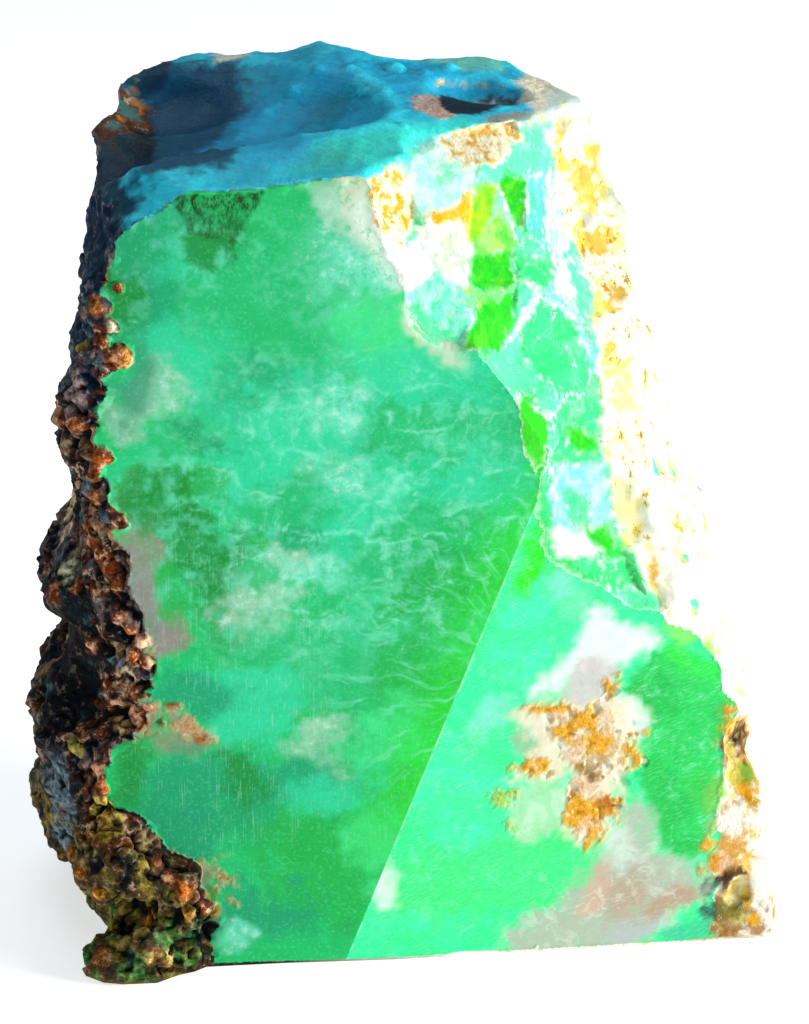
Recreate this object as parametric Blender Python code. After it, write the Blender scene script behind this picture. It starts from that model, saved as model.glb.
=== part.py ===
# Chrysoprase hand specimen: one solid stone that stands on a sawn base.
# Sizes are in millimetres until the mesh is made. X is to the right, -Y is the sawn front, Z is up.
import math

import bmesh
import bpy
import numpy as np
from mathutils import Vector, noise

MM = 0.001
STONE_NAME = "chrysoprase_stone"

# Rough stone before any saw cut, each list holds (height, position).
LEFT_SIDE = [(-4, -37.6), (1, -37.6), (4, -38.6), (7, -41.4), (10, -44.0), (14, -44.4), (18, -43.8), (21, -42.6),
             (26, -44.2), (31, -42.8), (35, -39.6), (38, -40.4), (42, -43.2), (46, -40.6), (50, -37.8), (55, -38.8),
             (60, -39.8), (65, -40.0), (69, -38.6), (76, -37.4), (80, -36.8), (90, -35.4), (97, -35.4), (104, -34),
             (110, -32)]
RIGHT_SIDE = [(-4, 40.4), (1, 41.0), (6, 42.4), (12, 39.4), (19, 38.2), (26, 40.2), (31, 40.0), (36, 36.4), (40, 34.6),
              (44, 34.2), (50, 34.8), (56, 32.4), (61, 31.6), (67, 27.6), (76, 25.6), (84, 26.2), (90, 24.8),
              (95, 22.4), (99, 20.6), (104, 17), (110, 14)]
FRONT_LEFT = [(-4, -27.0), (8, -27.0), (14, -27.4), (18, -31.0), (22, -33.6), (27, -32.0), (31, -29.6),
              (36, -27.8), (42, -30.0), (54, -31.6), (61, -34.2), (70, -33.4), (83, -32.7), (89, -31.4),
              (93, -27.4), (97, -21), (110, -18)]
FRONT_RIGHT = [(-4, 39.4), (6, 39.0), (14, 37.6), (25, 37.8), (32, 38.4), (38, 37.0), (44, 34.6), (50, 30.6),
               (57, 27.4), (67, 24.8), (78, 22.0), (84, 20.6), (90, 19.4), (96, 17.0), (110, 13)]
FRONT_RIGHT_DEPTH = [(-4, -17.8), (10, -18.2), (38, -18.6), (50, -18.0), (62, -14.0), (78, -8.0), (96, -1.0), (110, 2)]
FRONT_DEPTH = [(-4, -26.2), (16, -26.8), (26, -32.0), (110, -32.0)]
BACK_DEPTH = [(-4, 26.4), (6, 27.6), (18, 28.2), (34, 27.0), (52, 24.8), (70, 22.0), (84, 20.0), (94, 18.6),
              (99, 17.4), (104, 16.0), (110, 14)]
BACK_LEFT = [(-4, 0.60), (60, 0.64), (88, 0.82), (110, 0.86)]
RING_STEP = 2.0
RING_POINTS = 120

# Bulges (+) and hollows (-) of the rind: place, radius, height.
RIND_LUMPS = [
    ((-42, -15, 64.5), 4.6, 1.3), ((-38, -24, 68), 3.6, 1.2), ((-44, -13, 27), 7.0, 1.4), ((-43, -20, 29), 4.5, 1.3),
    ((-39, -24, 20), 4.4, 1.7), ((-33, -27, 25), 4.2, 1.5), ((-43, -12, 44), 5.0, 0.9), ((-34, -26, 76), 3.4, 1.3),
    ((-34, -26, 81), 2.8, 1.0), ((-35, -25, 43), 3.6, 1.4), ((-33, -27, 34), 3.2, 1.4), ((-38, -22, 51), 3.4, 1.3),
    ((-31, -28, 14), 4.0, 1.9), ((-37, -25, 11), 3.8, 1.7), ((-25, -28, 10), 3.4, 1.6), ((-37, 6, 84), 6.0, 1.2),
    ((42, -12, 25), 3.6, 1.3), ((43, -11, 16), 3.8, 1.2), ((43, -13, 5), 4.4, 1.3), ((39, -18, 9), 3.4, 1.5),
    ((39, -18, 1), 4.0, 1.4), ((41, -15, 31), 3.0, 0.9), ((26, -4, 70), 4.0, 0.7), ((33, -6, 52), 4.5, 0.8),
    ((24, 0, 84), 4.5, 0.9), ((37, -2, 40), 5.0, 0.8),
    ((-37, -20, 57.5), 3.2, -2.0), ((-37.5, -20, 41), 3.6, -2.4), ((-39, -19, 31.5), 4.0, -2.6),
    ((-34, -23, 31), 2.6, -1.8), ((-31, -28, 9), 3.0, -2.6), ((-26, -28, 5), 2.6, -2.2), ((-35.5, -21, 88.5), 3.2, -1.5),
    ((-41, -18, 23.5), 2.8, -1.6), ((-38.5, -24, 5.4), 3.4, -2.6), ((-44, -6, 36), 3.6, -1.5),
    ((39.5, -17, 22), 2.8, -2.0), ((38, -18, 5), 2.6, -2.2), ((41, -14, 11), 2.8, -1.8), ((26, -6, 74), 2.8, -1.2),
    ((21, -4, 87), 2.6, -1.3), ((30, -10, 51), 2.8, -1.2),
]
FOOT_LUMPS = [((-34.8, -27.6, -0.6), (3.8, 4.0, 4.6)), ((-30.6, -27.4, 0.4), (4.4, 3.0, 5.0)),
              ((-36.6, -23.6, 0.0), (2.6, 4.0, 3.4)), ((-25.8, -26.4, 3.2), (3.2, 2.6, 4.6)),
              ((-34.4, -25.8, 14.0), (4.2, 4.4, 4.8)), ((-28.6, -26.0, 12.6), (3.8, 2.8, 3.6)),
              ((40.4, -15.8, 3.0), (3.6, 3.8, 5.0)), ((39.6, -16.0, 16.2), (3.0, 3.4, 5.2))]
SKIN_STEP = 0.9
ROUGH_TRIANGLES = 36000
TRIANGLES = 10600

# Saw cuts and breaks: point on the plane, outward normal, and the (x, height) outline that the saw took off.
FRONT_CUT = ((-7.1, -24.7, 0.0), (0.052, -0.9986, 0.0))
FRONT_OUTLINE = [(-22.8, -8), (-23.6, 3), (-22.2, 6.6), (-25.2, 10.0), (-24.6, 13.0), (-28.6, 14.8), (-30.0, 18.6),
                 (-34.6, 20.8), (-38, 27), (-54, 30), (-54, 120), (60, 120), (60, -8)]
LOWER_RIGHT_CUT = ((-7.1, -24.7, 0.0), (0.1270, -0.9915, -0.0290))
LOWER_RIGHT_OUTLINE = [(-11, -8), (10, 60), (30, 120), (70, 120), (70, -8)]
SHOULDER_BREAK = ((7.5, -24.1, 77.0), (0.670, -0.610, 0.420))
TOP_RIGHT_BREAK = ((-6.5, 16.0, 103.0), (0.125, -0.130, 0.983))
TOP_LEFT_BREAK = ((-6.5, 16.0, 103.0), (-0.100, -0.112, 0.989))
BACK_BREAKS = [((31.0, 17.0, 30.0), (0.72, 0.68, 0.14)), ((-33.0, 18.0, 40.0), (-0.66, 0.74, 0.10)),
               ((4.0, 22.4, 72.0), (0.16, 0.96, 0.24)), ((-4.0, 25.6, 20.0), (-0.10, 0.99, -0.06))]

# Conchoidal scars: surface point, way to the ball centre, ball radii and how deep the ball bites.
TOP_SCARS = [
    ((-26, -4, 98.2), (-0.12, -0.08, 1.0), (30, 25, 20), 3.4),
    ((-20.5, -24.8, 96.9), (0.02, -0.32, 1.0), (40, 18, 16), 1.5),
    ((-31.5, -9, 97.0), (-0.60, -0.25, 1.0), (12, 13, 11), 3.8),
    ((-25, 5, 97.0), (-0.30, -0.30, 1.0), (13, 10, 12), 1.6),
    ((-17, -9, 96.6), (0.05, 0.20, 1.0), (22, 16, 18), 1.0),
    ((8.8, 4.0, 99.2), (0.10, -0.25, 1.0), (7.5, 4.6, 6.0), 2.4),
    ((1, 14, 101.4), (0.10, 0.30, 1.0), (26, 20, 20), 1.2),
    ((16, 12, 99.0), (0.60, 0.30, 1.0), (18, 18, 16), 0.7),
    ((-18, 15, 101.6), (-0.05, 0.30, 1.0), (18, 14, 14), 0.8),
    ((2, -12, 98.2), (0.25, -0.10, 1.0), (30, 24, 30), 0.7),
]
BREAK_SCARS = [
    ((9.6, -15.0, 88.0), (0.62, -0.66, 0.40), (15, 17, 20), 2.6),
    ((0.6, -21.4, 90.0), (0.60, -0.70, 0.42), (15, 16, 18), 1.3),
    ((3.4, -24.0, 80.4), (0.30, -0.93, 0.25), (9, 8, 9), 1.3),
    ((10.6, -20.6, 77.6), (0.86, -0.45, 0.20), (14, 16, 13), 1.6),
    ((16.4, -6.8, 89.0), (0.86, -0.44, 0.24), (14, 18, 20), 1.7),
    ((16.8, -13.2, 78.6), (0.62, -0.76, 0.22), (16, 16, 17), 1.6),
    ((19.8, -15.6, 70.0), (0.80, -0.58, 0.12), (15, 18, 16), 1.6),
    ((21.4, -20.0, 59.0), (0.64, -0.76, 0.12), (12, 12, 15), 2.8),
    ((24.4, -20.6, 52.6), (0.62, -0.78, -0.05), (11, 11, 11), 1.4),
    ((5.6, -10.6, 97.4), (0.45, -0.55, 0.70), (14, 12, 12), 1.6),
]
BACK_SCARS = [
    ((12, 22, 74), (0.30, 1.0, 0.30), (34, 30, 30), 2.4), ((-12, 24, 60), (-0.15, 1.0, 0.25), (30, 26, 28), 2.2),
    ((29, 18, 44), (0.80, 0.80, 0.20), (30, 30, 34), 2.6), ((8, 25, 38), (0.10, 1.0, -0.10), (30, 26, 24), 1.8),
    ((-29, 19, 78), (-0.60, 0.90, 0.30), (24, 24, 26), 2.4), ((-20, 24, 24), (-0.40, 1.0, 0.0), (28, 26, 22), 1.8),
    ((32, 14, 18), (0.75, 0.70, 0.0), (24, 24, 20), 2.0),
]


def value_at(pairs, height):
    heights = [p[0] for p in pairs]
    values = [p[1] for p in pairs]
    return float(np.interp(height, heights, values))


def closed_curve(points, count):
    """Even points along a smooth closed curve through the given corners."""
    corners = np.array(points, float)
    fine = []
    total = len(corners)
    for i in range(total):
        a, b, c, d = (corners[(i + k - 1) % total] for k in range(4))
        for t in np.linspace(0, 1, 24, endpoint=False):
            fine.append(0.5 * (2 * b + (c - a) * t + (2 * a - 5 * b + 4 * c - d) * t**2 + (3 * b - a - 3 * c + d) * t**3))
    fine = np.array(fine + [fine[0]])
    along = np.concatenate([[0], np.cumsum(np.linalg.norm(np.diff(fine, axis=0), axis=1))])
    wanted = np.linspace(0, along[-1], count, endpoint=False)
    return np.stack([np.interp(wanted, along, fine[:, k]) for k in range(2)], axis=1)


def ring_at(height):
    left = value_at(LEFT_SIDE, height)
    right = value_at(RIGHT_SIDE, height)
    front_left = value_at(FRONT_LEFT, height)
    front_right = value_at(FRONT_RIGHT, height)
    right_depth = value_at(FRONT_RIGHT_DEPTH, height)
    back = value_at(BACK_DEPTH, height)
    corners = [(left, -11), (front_left - 2.0, -24.4), (front_left + 12, value_at(FRONT_DEPTH, height)), (front_right - 15, -30),
               (front_right, right_depth), (right, 1.0), (0.70 * right, 0.82 * back), (0.12 * right, back),
               (value_at(BACK_LEFT, height) * left, 0.86 * back), (0.98 * left, 0.36 * back)]
    return closed_curve(corners, RING_POINTS)


def rough_stone():
    """The stone as it was broken from the vein, taller than the finished piece."""
    heights = np.arange(-4.0, 110.1, RING_STEP)
    mesh = bmesh.new()
    rings = []
    for height in heights:
        rings.append([mesh.verts.new((x, y, height)) for x, y in ring_at(height)])
    for low, high in zip(rings, rings[1:]):
        for i in range(RING_POINTS):
            j = (i + 1) % RING_POINTS
            mesh.faces.new((low[i], low[j], high[j], high[i]))
    mesh.faces.new(list(reversed(rings[0])))
    mesh.faces.new(rings[-1])
    bmesh.ops.recalc_face_normals(mesh, faces=mesh.faces)
    return object_from(mesh, STONE_NAME)


def object_from(mesh, name):
    data = bpy.data.meshes.new(name)
    mesh.to_mesh(data)
    mesh.free()
    made = bpy.data.objects.new(name, data)
    bpy.context.scene.collection.objects.link(made)
    return made


def lump(place, radii, seed):
    """One knobbly lump of rind."""
    mesh = bmesh.new()
    bmesh.ops.create_icosphere(mesh, subdivisions=4, radius=1.0)
    for vert in mesh.verts:
        rough = 1 + 0.16 * noise.noise(vert.co * 1.7 + Vector((seed, 3.1, 0))) + 0.08 * noise.noise(vert.co * 4.1)
        vert.co = Vector([place[k] + radii[k] * rough * vert.co[k] for k in range(3)])
    return object_from(mesh, "lump_%d" % seed)


def apply_modifiers(stone):
    graph = bpy.context.evaluated_depsgraph_get()
    data = bpy.data.meshes.new_from_object(stone.evaluated_get(graph))
    stone.modifiers.clear()
    old = stone.data
    stone.data = data
    bpy.data.meshes.remove(old)


def even_skin(stone):
    """Gives the stone one closed, even skin."""
    remesh = stone.modifiers.new("skin", "REMESH")
    remesh.mode = "VOXEL"
    remesh.voxel_size = SKIN_STEP
    apply_modifiers(stone)


def grow_on(stone, others):
    """Grows the lumps into the stone."""
    joined = bmesh.new()
    joined.from_mesh(stone.data)
    for other in others:
        joined.from_mesh(other.data)
        bpy.data.objects.remove(other)
    joined.to_mesh(stone.data)
    joined.free()
    even_skin(stone)


def rind_relief(stone):
    """Warty rind: broad waves, round nodules, small pits, and the named lumps and hollows."""
    mesh = bmesh.new()
    mesh.from_mesh(stone.data)
    mesh.normal_update()
    shift = {}
    for vert in mesh.verts:
        place = vert.co
        waves = 1.3 * noise.fractal(place * 0.055, 0.9, 2.0, 3)
        near, cells = noise.voronoi(place * 0.23 + Vector((5, 2, 9)))
        nodule = 1.9 * max(0.0, 0.60 - near[0]) / 0.60
        close, cells = noise.voronoi(place * 0.34 + Vector((1, 7, 4)))
        pit = -1.4 * max(0.0, 0.45 - close[0]) / 0.45
        named = 0.0
        for centre, radius, height in RIND_LUMPS:
            away = (place - Vector(centre)).length / (1.5 * radius)
            if away < 1.0:
                named += height * (1 - away * away) ** 2
        shift[vert.index] = vert.normal * (waves + nodule + pit + named)
    for vert in mesh.verts:
        vert.co += shift[vert.index]
    mesh.to_mesh(stone.data)
    mesh.free()


def thin_out(stone, triangles):
    count = sum(len(face.vertices) - 2 for face in stone.data.polygons)
    decimate = stone.modifiers.new("thin", "DECIMATE")
    decimate.ratio = min(1.0, triangles / count)
    decimate.use_collapse_triangulate = True
    apply_modifiers(stone)


def scar_ball(number, place, toward, radii, bite):
    """Ball whose skin cuts a shell-shaped hollow into the surface."""
    mesh = bmesh.new()
    bmesh.ops.create_icosphere(mesh, subdivisions=4, radius=1.0)
    way = Vector(toward).normalized()
    reach = 1.0 / math.sqrt(sum((way[k] / radii[k]) ** 2 for k in range(3)))
    centre = Vector(place) + way * (reach - bite)
    for vert in mesh.verts:
        ripple = 1 + 0.035 * noise.noise(vert.co * 2.2 + Vector((number, 0, 0)))
        vert.co = Vector([centre[k] + radii[k] * ripple * vert.co[k] for k in range(3)])
    return object_from(mesh, "scar_%d" % number)


def take_off(stone, cutter):
    cut = stone.modifiers.new("cut", "BOOLEAN")
    cut.operation = "DIFFERENCE"
    cut.solver = "EXACT"
    cut.object = cutter
    apply_modifiers(stone)
    bpy.data.objects.remove(cutter)


def break_scars(stone, scars):
    for number, (place, toward, radii, bite) in enumerate(scars):
        take_off(stone, scar_ball(number, place, toward, radii, bite))


def saw_cut(stone, plane, outline, spare):
    """Takes off the block in front of the plane and inside the outline, and leaves some to spare."""
    place, normal = plane
    mesh = bmesh.new()
    rings = []
    for forward, spread in ((0.0, 0.0), (30.0, 0.55)):
        ring = []
        for x, height in outline:
            lean = normal[0] * (x - place[0]) + normal[2] * (height - place[2])
            y = place[1] - lean / normal[1] - forward - spare
            ring.append(mesh.verts.new((x + spread * (x - 10), y, height + spread * (height - 50))))
        rings.append(ring)
    count = len(outline)
    for i in range(count):
        j = (i + 1) % count
        mesh.faces.new((rings[0][i], rings[0][j], rings[1][j], rings[1][i]))
    mesh.faces.new(rings[0])
    mesh.faces.new(rings[1])
    bmesh.ops.recalc_face_normals(mesh, faces=mesh.faces)
    take_off(stone, object_from(mesh, "saw"))


def flat_cut(stone, plane):
    """Parts the stone along a plane and takes away the side the normal points to."""
    place, normal = plane
    turn = Vector((0, 0, 1)).rotation_difference(Vector(normal))
    mesh = bmesh.new()
    bmesh.ops.create_cube(mesh, size=300)
    for vert in mesh.verts:
        vert.co = turn @ (vert.co + Vector((0, 0, 150))) + Vector(place)
    take_off(stone, object_from(mesh, "block"))


def stand_on_origin(stone):
    """Puts the sawn base at z = 0 and the middle of the stone over the origin, then goes to metres."""
    mesh = bmesh.new()
    mesh.from_mesh(stone.data)
    bmesh.ops.remove_doubles(mesh, verts=mesh.verts, dist=0.02)
    bmesh.ops.triangulate(mesh, faces=mesh.faces)
    spots = np.array([vert.co for vert in mesh.verts])
    middle = (spots.max(axis=0) + spots.min(axis=0)) / 2
    for vert in mesh.verts:
        height = 0.0 if vert.co.z < 0.01 else vert.co.z
        vert.co = Vector(((vert.co.x - middle[0]) * MM, (vert.co.y - middle[1]) * MM, height * MM))
    mesh.to_mesh(stone.data)
    mesh.free()


def stone_material():
    material = bpy.data.materials.new("chrysoprase")
    material.use_nodes = True
    surface = material.node_tree.nodes["Principled BSDF"]
    surface.inputs["Base Color"].default_value = (0.10, 0.62, 0.36, 1)
    surface.inputs["Roughness"].default_value = 0.42
    return material


for old in list(bpy.data.objects):
    bpy.data.objects.remove(old)

stone = rough_stone()
lumps = [lump(place, radii, number) for number, (place, radii) in enumerate(FOOT_LUMPS)]
grow_on(stone, lumps)
rind_relief(stone)
even_skin(stone)
thin_out(stone, ROUGH_TRIANGLES)
saw_cut(stone, FRONT_CUT, FRONT_OUTLINE, 0.06)
saw_cut(stone, LOWER_RIGHT_CUT, LOWER_RIGHT_OUTLINE, 0.06)
for plane in [SHOULDER_BREAK, TOP_RIGHT_BREAK, TOP_LEFT_BREAK] + BACK_BREAKS:
    flat_cut(stone, plane)
break_scars(stone, TOP_SCARS + BREAK_SCARS + BACK_SCARS)
thin_out(stone, TRIANGLES)
saw_cut(stone, FRONT_CUT, FRONT_OUTLINE, 0.0)
saw_cut(stone, LOWER_RIGHT_CUT, LOWER_RIGHT_OUTLINE, 0.0)
flat_cut(stone, ((0, 0, 0), (0, 0, -1)))
stand_on_origin(stone)
stone.data.materials.clear()
stone.data.materials.append(stone_material())
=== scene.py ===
import math
import time
import bpy
import bmesh
import numpy as np
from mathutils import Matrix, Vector, noise


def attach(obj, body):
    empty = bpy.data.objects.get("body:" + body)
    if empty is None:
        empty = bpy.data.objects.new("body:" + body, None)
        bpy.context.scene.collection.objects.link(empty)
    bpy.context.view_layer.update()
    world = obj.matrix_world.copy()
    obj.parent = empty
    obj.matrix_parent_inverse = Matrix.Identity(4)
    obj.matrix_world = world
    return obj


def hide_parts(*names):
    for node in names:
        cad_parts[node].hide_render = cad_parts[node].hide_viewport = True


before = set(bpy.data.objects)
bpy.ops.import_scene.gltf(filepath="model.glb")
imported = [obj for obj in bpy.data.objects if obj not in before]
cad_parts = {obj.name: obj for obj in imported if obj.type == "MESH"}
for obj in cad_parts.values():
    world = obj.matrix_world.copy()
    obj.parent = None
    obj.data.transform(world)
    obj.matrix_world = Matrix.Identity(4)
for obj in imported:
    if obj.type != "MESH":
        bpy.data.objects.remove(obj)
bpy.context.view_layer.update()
scene = bpy.context.scene
started = time.time()


def stage(text):
    print("%5.1f s  %s" % (time.time() - started, text))


# noise, masks and colour; all places and sizes are in mm
def smooth(low, high, values):
    t = np.clip((values - low) / (high - low), 0.0, 1.0)
    return t * t * (3.0 - 2.0 * t)


def cloud(points, size, octaves=3, seed=0.0):  # soft random values round 0, with lumps of this size
    return np.array([noise.fractal(p, 0.8, 2.0, octaves) for p in (points / size + seed).tolist()])


def clouds(points, size, octaves, seeds):  # three clouds make one drift of place
    return np.stack([cloud(points, size, octaves, seed) for seed in seeds], 1)


def cells(points, size, seed=0.0):  # distances to the two nearest grains of this size
    return np.array([noise.voronoi(p)[0][:2] for p in (points / size + seed).tolist()])


def shards(points, size, seed=0.0):  # distance to the cell's border and a chance value per cell
    found = [noise.voronoi(p) for p in (points / size + seed).tolist()]
    gap = np.array([far[1] - far[0] for far, near in found])
    home = np.array([near[0][:] for far, near in found])
    return gap, np.modf(np.abs(np.sin(home @ np.array([12.99, 78.23, 37.72]))) * 4375.85)[0]


def edgeAt(outline, height):  # how far across an edge lies at each height
    line = sorted((z, x) for x, z in outline)
    return np.interp(height, [z for z, x in line], [x for z, x in line])


def spotMask(points, place, size, tilt, soft, broken=0.0):  # 1 inside a tilted egg, 0 away from it
    away = points - np.array(place)
    turn = math.radians(tilt)
    across = away[:, 0] * math.cos(turn) - away[:, 2] * math.sin(turn)
    up = away[:, 0] * math.sin(turn) + away[:, 2] * math.cos(turn)
    far = np.sqrt((across / size[0]) ** 2 + (away[:, 1] / size[1]) ** 2 + (up / size[2]) ** 2)
    return smooth(1.0 + soft * 0.5, 1.0 - soft * 0.5, far + broken)


def outlineMask(across, up, corners, soft):  # 1 inside an outline, 0 away from it
    corners = np.array(corners)
    inside = np.zeros(len(across), bool)
    near = np.full(len(across), 1e9)
    for (ax, az), (bx, bz) in zip(corners, np.roll(corners, -1, 0)):
        rise = bz - az if abs(bz - az) > 1e-6 else 1e-6
        inside ^= ((az > up) != (bz > up)) & (across < ax + (up - az) * (bx - ax) / rise)
        along = ((across - ax) * (bx - ax) + (up - az) * (bz - az)) / ((bx - ax) ** 2 + (bz - az) ** 2)
        along = np.clip(along, 0.0, 1.0)
        near = np.minimum(near, np.hypot(across - ax - along * (bx - ax), up - az - along * (bz - az)))
    return smooth(-soft / 2, soft / 2, np.where(inside, near, -near))


def linear(colour):  # the renderer's own scale, from values out of 255
    c = np.array(colour, float) / 255.0
    return np.where(c <= 0.04045, c / 12.92, ((c + 0.055) / 1.055) ** 2.4)


# reading and writing a mesh, in mm
def readAll(items, name, width, kind=float):
    values = np.empty(len(items) * width, dtype=kind)
    items.foreach_get(name, values)
    return values.reshape(-1, width)


def readPoints(mesh):
    return readAll(mesh.vertices, "co", 3) * 1000.0


def readNormals(mesh):
    return readAll(mesh.vertices, "normal", 3)


def readEdges(mesh):
    return readAll(mesh.edges, "vertices", 2, np.int64)


def writePoints(mesh, points):
    mesh.vertices.foreach_set("co", (points * 0.001).ravel())
    mesh.update()


def averaged(values, ends, rounds):  # each round goes halfway to the mean of the neighbours
    count = len(values)
    links = np.bincount(ends.ravel(), minlength=count).astype(float)
    values = values.copy()
    for _ in range(rounds):
        flat = values.reshape(count, -1)
        total = np.stack([np.bincount(ends[:, 0], flat[ends[:, 1], k], count)
                          + np.bincount(ends[:, 1], flat[ends[:, 0], k], count)
                          for k in range(flat.shape[1])], 1)
        mean = total / links[:, None]
        values = (0.5 * flat + 0.5 * mean).reshape(values.shape)
    return values


def applyAll(stone):  # the modifiers' result becomes the mesh
    graph = bpy.context.evaluated_depsgraph_get()
    done = bpy.data.meshes.new_from_object(stone.evaluated_get(graph))
    stone.modifiers.clear()
    old = stone.data
    stone.data = done
    bpy.data.meshes.remove(old)


stonePlan = {
    "step": 0.44,  # mm between points of the fine skin
    "nodule": 0.48,  # heights in mm
    "crumb": 0.34,
    "grain": 0.28,
    "hollowLeft": 1.5,
    "hollowRight": 0.7,
    "shard": 1.15,
    "swell": 0.50,
    "scallop": 0.55,
    "noduleSize": 3.1,  # widths in mm
    "crumbSize": 1.25,
    "shardSize": 4.2,
    "bowlSize": 6.0,
    "chipSize": 2.3,
    "faces": 150000,  # triangles after thinning
    "shake": 0.05,  # mm, keeps the flat faces from thinning first
    "facetRounds": 140,  # smoothing of the shoulder before its facets are cut
    "facetDepth": 0.65,  # how far a facet is pressed flat, 1 is fully
    "sharp": 50.0,  # degrees
    "crumbs": 0.85,  # grains of the finish per mm
    "cloudy": 0.10,
    "veiled": 0.32,
    "sawLines": 5.0,
    "net": 0.42,  # strength of the fracture net and of the rays
    "rays": 0.38,
    "bump": 0.00038,  # m
    "roughness": 0.52,
    "specular": 0.15,
    "refraction": 1.54,
}
sawFaces = {
    "edge": (-6.42, -23.10, 0.0),  # both sawn faces pass through this point
    "main": (0.0520, -0.9986, 0.0),
    "lower": (0.1270, -0.9915, -0.0290),
}
leftEdge = [  # where the sawn face meets the left rind: across, up
    (-24.5, 95.3), (-28.2, 93.6), (-32.2, 89.4), (-33.6, 86.5), (-33.6, 83), (-33.3, 80), (-32.9, 77.5),
    (-32.6, 75), (-33.8, 72.5), (-34.4, 70), (-34.4, 66), (-33.8, 62.5), (-33, 59), (-32.2, 54.5),
    (-31.6, 50.5), (-31, 46.6), (-30.2, 43.5), (-28.9, 40.5), (-28.4, 37.4), (-30.2, 34.8), (-33.2, 31.7),
    (-34.8, 28.6), (-34.8, 23), (-33.6, 21), (-31.3, 18), (-29.6, 15.6), (-27.4, 13.3), (-25, 11),
    (-23.4, 9), (-22.6, 6), (-21.8, 1),
]
rightEdge = [  # where the front meets the right rind: across, up
    (17.3, 96.5), (18.2, 93.2), (18.6, 89), (19.8, 83.7), (22.1, 78.1), (23, 72.8), (23.8, 67.5),
    (24.1, 62.4), (24.5, 57.2), (26, 51.8), (29, 46), (31.5, 42), (38.5, 38.5), (40.5, 30), (39.2, 25),
    (38, 20), (38.3, 12), (37.5, 6), (38.3, 0),
]


def overFace(points, name):  # height over a sawn face
    return (points - np.array(sawFaces["edge"])) @ np.array(sawFaces[name])


def zones(points, normals):  # masks of the stone's parts, from 0 to 1
    x, y, z = points.T
    overMain, overLower = overFace(points, "main"), overFace(points, "lower")
    front = np.maximum(overMain, overLower)
    facing = normals @ np.array([0.09, -0.996, -0.01])
    wobble = cloud(points, 2.6, 3, 3.1) * 1.3
    left = smooth(0.5, -0.5, x - edgeAt(leftEdge, z) - wobble) * smooth(2.0, -4.0, y)
    right = smooth(-0.5, 0.5, x - edgeAt(rightEdge, z) - wobble * 0.8) * smooth(10.0, 4.0, y)
    flat = smooth(0.6, 0.3, np.abs(front)) * smooth(0.8, 0.95, facing)
    sawn = flat * (1.0 - left) * (1.0 - right)
    inShoulder = smooth(40.0, 44.0, z) * smooth(-2.5, -0.5, x + wobble * 0.3) * (1.0 - right)
    shoulder = inShoulder * (1.0 - sawn) * smooth(6.0, 2.0, y - 0.1 * x) * (1.0 - smooth(96.0, 98.5, z))
    top = smooth(0.35, 0.6, normals[:, 2]) * smooth(90.5, 93.0, z) * (1.0 - shoulder) * (1.0 - right * 0.7)
    lip = smooth(-26.5, -24.5, y) * smooth(92.5, 95.0, z) * smooth(0.0, 0.3, normals[:, 2])
    top = np.maximum(top, lip * (1 - sawn) * (1 - shoulder) * smooth(4.0, 0.0, x)) * (1 - sawn)
    under = smooth(0.35, 0.1, z)
    return {
        "sawn": sawn, "main": sawn * (overLower <= overMain), "lower": sawn * (overLower > overMain),
        "shoulder": shoulder, "top": top, "rind": np.clip(1.0 - sawn - shoulder - top - under, 0.0, 1.0),
        "right": right, "front": front,
    }


def fineSkin(node):  # the plain stone again, with small even faces
    mesh = node.data.copy()
    stone = bpy.data.objects.new("chrysoprase", mesh)
    scene.collection.objects.link(stone)
    mesh.materials.clear()
    work = bmesh.new()
    work.from_mesh(mesh)
    bmesh.ops.remove_doubles(work, verts=work.verts, dist=2e-6)
    work.to_mesh(mesh)
    work.free()
    remesh = stone.modifiers.new("skin", "REMESH")
    remesh.mode = "VOXEL"
    remesh.voxel_size = stonePlan["step"] * 0.001
    remesh.adaptivity = 0.0
    applyAll(stone)
    return stone


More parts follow.
